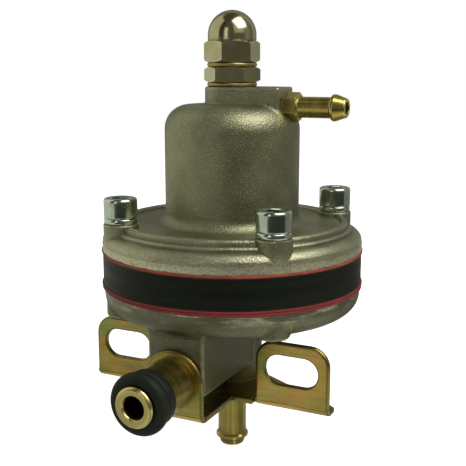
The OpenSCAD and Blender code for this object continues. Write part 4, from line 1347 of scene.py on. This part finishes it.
def vacuum_grid():
    """Vacuum tail: hexagon, pipe, barb with a short land, drawn-in end, hole."""
    length = vacuum_end - boss_reach
    barb = length - vacuum_barb_len
    land = barb + (vacuum_barb_r - vacuum_pipe_r) / 2
    root_r = vacuum_pipe_r - pipe_room
    rows = round_rows([[vacuum_hole_r, -vacuum_root], [root_r, -vacuum_root], [root_r, 0]], vacuum_turn)
    rows += hexagon_rows(vacuum_af, 0, vacuum_hex_len, vacuum_turn)
    pipe = rounded([[vacuum_pipe_r + 0.4, vacuum_hex_len], [vacuum_pipe_r, vacuum_hex_len],
                    [vacuum_pipe_r, barb], [vacuum_barb_r, land], [vacuum_barb_r, land + vacuum_land],
                    [vacuum_end_r, length], [vacuum_hole_r, length], [vacuum_hole_r, length - bore_shown]],
                   [0.2, 0.2, 0.3, 0.4, 0.3, 0.1])
    rows += round_rows(pipe, vacuum_turn)
    return on_vacuum(np.stack(rows))


for name, node, grid, finish, sharp, bevel in (
        ("inlet_spigot", "inlet_stub", stub_grid(), inlet_brass, 40, 0.0),
        ("backing_band", "backing_ring", backing_grid(), black_rubber, 50, 0.0),
        ("sealing_ring", "inlet_o_ring", o_ring_grid(), black_rubber, 60, 0.0),
        ("outlet_hose_tail", "outlet_tail", tail_grid(), outlet_brass, 40, 0.0),
        ("vacuum_hose_tail", "vacuum_fitting", vacuum_grid(), vacuum_brass, 40, 0.08)):
    make_piece(name, node, [(grid, True)], finish, sharp, bevel)


# Pieces: main spring

def spring_level(turns):
    """Height of the wire's middle over the spring's foot: one closed turn at each end, an even climb
    between."""
    closed = wire_d + closed_gap
    climb = spring_len - wire_d
    knots = [0, 1, spring_turns - 1, spring_turns]
    return wire_d / 2 + np.interp(turns, knots, [0, closed, climb - closed, climb])


def spring_grid(first, last):
    """Part of the main spring: a round wire carried along its helix, closed at both ends on its middle."""
    turns = np.linspace(first, last, round((last - first) * spring_steps) + 1)
    rows = []
    for turn, thick in [(first, 0)] + [(t, wire_d / 2) for t in turns] + [(last, 0)]:
        out, up = (thick * circle(wire_points)).T
        way = arc(360 * turn, 360 * turn, 1)
        rows.append(level_row((spring_r + out)[:, None] * way, spring_level(turn) + up))
    return on_axis(np.stack(rows), spring_low)


split_z = spring_level(spring_split)
for name, first, last, body, still, moving in (
        ("main_spring_foot", 0, spring_split, "diaphragm_group", split_z - wire_d / 2, 0),
        ("main_spring_coils", spring_split, spring_turns, "spring_seat", split_z + wire_d / 2, spring_len)):
    held = on_axis(np.array([0, 0, still]), spring_low)
    pushed = on_axis(np.array([0, 0, moving]), spring_low)
    make_piece(name, "main_spring", [(spring_grid(first, last), False)], plain_steel, sharp=60,
               across=(body, "housing", pushed, held))


# Finishes of the solids that stay
for node, solid in frame["nodes"].items():
    if not solid.hide_render:
        finish = threaded_steel if node == "adjusting_screw" else slot_finish[slot_of[node]]
        solid.data.materials.clear()
        solid.data.materials.append(finish)


# Stage: floor, panels, light and camera

white = (1, 1, 1, 1)
floor_r = 1.5
floor_z = tail_end_z * MM - 0.0002
card_z = tail_end_z * MM + 0.0004
studio_r = 0.62
stage_middle = np.array([0, axis_y, 30]) * MM
panel_blue = 0.88
camera_turn = math.radians(26.162)
camera_tilt = math.radians(78.785)
camera_place = (0.09659, -0.18056, 0.07320)
camera_lens = 64.67

# Curtains reach from the hem to the top, in degrees up, and papers and cards lie between radii, in metres
hem = -12
top = 62
foot_r = 0.0015
inner_r = 0.012
paper_r = 0.05
card_r = 0.15


def make_sheet(name, points, material):
    """Open sheet of points for the stage."""
    rows, columns = points.shape[:2]
    i, j = np.meshgrid(np.arange(rows - 1), np.arange(columns - 1), indexing="ij")
    corner = i * columns + j
    faces = np.stack([corner, corner + 1, corner + columns + 1, corner + columns], -1).reshape(-1, 4)
    mesh = bpy.data.meshes.new(name)
    mesh.from_pydata(points.reshape(-1, 3).tolist(), [], faces.tolist())
    mesh.shade_smooth()
    mesh.materials.append(material)
    sheet = bpy.data.objects.new(name, mesh)
    bpy.context.scene.collection.objects.link(sheet)
    return sheet


def emptied(data):
    """Node graph of a material or world with nothing in it yet."""
    data.use_nodes = True
    data.node_tree.nodes.clear()
    return Graph(data.node_tree)


def seen_white(graph):
    """Share of rays that should meet the white studio: camera, glossy and transmission rays."""
    rays = graph.put("ShaderNodeLightPath").outputs
    either = graph.maths("MAXIMUM", rays["Is Camera Ray"], rays["Is Glossy Ray"])
    return graph.maths("MAXIMUM", either, rays["Is Transmission Ray"])


def make_floor():
    """Pale floor under the outlet tail: it reads white to the camera and keeps a soft shadow."""
    material = bpy.data.materials.new("pale_floor")
    look = emptied(material)
    lit = look.put("ShaderNodeBsdfDiffuse", {"Color": (0.62, 0.62, 0.61, 1)}).outputs[0]
    glow = look.put("ShaderNodeEmission", {"Color": white, "Strength": 0.86}).outputs[0]
    both = look.put("ShaderNodeAddShader", {0: lit, 1: glow}).outputs[0]
    chosen = look.put("ShaderNodeMixShader", {0: seen_white(look), 1: lit, 2: both}).outputs[0]
    look.put("ShaderNodeOutputMaterial", {"Surface": chosen})
    radius = np.linspace(0.0, floor_r, 12)[:, None]
    x, y = arc(0, 360, 49).T
    make_sheet("floor", np.stack([radius * x, radius * y, floor_z + 0 * radius * x], -1), material)


def make_world():
    """White studio for what is seen in it, and an even soft light for the rest."""
    world = bpy.data.worlds.new("studio")
    sky = emptied(world)
    strength = sky.fused(seen_white(sky), 0.5, 0.5)
    background = sky.put("ShaderNodeBackground", {"Color": white, "Strength": strength})
    sky.put("ShaderNodeOutputWorld", {"Surface": background.outputs[0]})
    bpy.context.scene.world = world


def make_panel(name, points, shade):
    """Evenly lit panel whose shade is what a mirror would show. It is seen in reflections only, and puts no
    shade of its own on the object."""
    material = bpy.data.materials.new(name)
    look = emptied(material)
    glow = look.put("ShaderNodeEmission", {"Color": (shade, shade, shade * panel_blue, 1), "Strength": 1.0})
    look.put("ShaderNodeOutputMaterial", {"Surface": glow.outputs[0]})
    sheet = make_sheet(name, points, material)
    sheet.visible_camera = False
    sheet.visible_diffuse = False
    sheet.visible_shadow = False


def toward_stage(left, right):
    """Plan directions between two angles in degrees, measured from the camera's side."""
    return arc(*(angle + math.degrees(camera_turn) - 90 for angle in (left, right)), 25).T


def make_curtain(name, left, right, low, high, shade, nearer):
    """Curtain: part of a sphere round the object, between angles round it and angles up."""
    x, y = toward_stage(left, right)
    out, up = arc(low, high, 13).T[:, :, None]
    points = np.stack([out * x, out * y, up + 0 * x], -1)
    make_panel(name, points * studio_r * nearer + stage_middle, shade)


def make_floor_card(name, left, right, near, far, shade):
    """Card on the floor: part of a flat ring round the object, between angles round it."""
    x, y = toward_stage(left, right)
    out = np.linspace(near, far, 7)[:, None]
    make_panel(name, np.stack([out * x, stage_middle[1] + out * y, card_z + 0 * out * x], -1), shade)


def make_lamp(name, direction, distance, width, height, power):
    """Soft box at a direction from the object, facing it."""
    light = bpy.data.lights.new(name, "AREA")
    light.shape = "RECTANGLE"
    light.size = width
    light.size_y = height
    light.energy = power
    lamp = bpy.data.objects.new(name, light)
    bpy.context.scene.collection.objects.link(lamp)
    toward = np.array(direction) / np.linalg.norm(direction)
    lamp.location = stage_middle + toward * distance
    lamp.rotation_euler = (math.acos(np.clip(toward[2], -1, 1)), 0, math.atan2(toward[0], -toward[1]))


def make_camera():
    """Camera at the photograph's place, found from known points of the object."""
    data = bpy.data.cameras.new("camera")
    data.sensor_width = 36
    data.lens = camera_lens
    data.clip_start = 0.01
    camera = bpy.data.objects.new("camera", data)
    bpy.context.scene.collection.objects.link(camera)
    camera.location = camera_place
    camera.rotation_euler = (camera_tilt, 0, camera_turn)
    bpy.context.scene.camera = camera


make_floor()
make_world()
for name, left, right, low, high, shade, nearer in (
        ("dim_curtain", -66, -42, hem, top, 0.05, 1.0), ("front_curtain", -42, 62, hem, top, 0.135, 1.0),
        ("side_curtain", 62, 90, hem, top, 0.32, 1.0), ("dark_curtain", 90, 118, hem, top, 0.2, 1.0),
        ("right_curtain", 118, 140, hem, top, 0.46, 1.0), ("back_curtain", 140, 220, hem, 34, 0.25, 1.0),
        ("back_window", 140, 220, 34, top, 0.3, 1.0), ("left_curtain", -140, -66, hem, top, 0.78, 1.0),
        ("roof_curtain", -180, 180, top, 90, 0.09, 1.0), ("window", 8, 62, 28, 60, 0.76, 0.95),
        ("window_foot", 10, 58, 14, 28, 0.62, 0.95)):
    make_curtain(name, left, right, low, high, shade, nearer)
for left, right, shade in ((-140, -50, 0.6), (-50, -43, 0.42), (-43, -20, 0.75), (-20, -8, 0.42),
                           (-8, 14, 0.8), (14, 45, 0.6), (45, 95, 0.34), (95, 220, 0.6)):
    make_floor_card(f"inner_paper_{left + 140}", left, right, inner_r, paper_r, shade)
for name, left, right, near, far, shade in (
        ("foot_paper", 20, 364, foot_r, inner_r, 0.3), ("foot_strip", 4, 20, foot_r, inner_r, 0.9),
        ("left_paper", -140, -38, paper_r, card_r, 0.42), ("near_paper", -38, -14, paper_r, 0.064, 0.5),
        ("middle_paper", -38, -14, 0.064, card_r, 0.68), ("front_paper", -14, 6, paper_r, card_r, 0.34),
        ("window_paper", 6, 24, paper_r, card_r, 0.66), ("right_paper", 24, 90, paper_r, card_r, 0.95),
        ("side_paper", 90, 140, paper_r, card_r, 0.19), ("back_paper", 140, 220, paper_r, card_r, 0.45),
        ("front_card", -38, 70, card_r, 0.22, 0.2), ("far_card", -38, 70, 0.22, studio_r, 0.045),
        ("right_card", 70, 140, card_r, studio_r, 0.25), ("back_card", 140, 220, card_r, studio_r, 0.5),
        ("left_card", -140, -38, card_r, studio_r, 0.68)):
    make_floor_card(name, left, right, near, far, shade)
make_lamp("key_window", (0.55, -0.08, 0.83), 0.5, 0.38, 0.38, 2.2)
make_lamp("left_strip", (-0.05, -0.96, 0.26), 0.55, 0.14, 0.4, 0.2)
make_camera()
bpy.context.scene.view_settings.view_transform = "Standard"
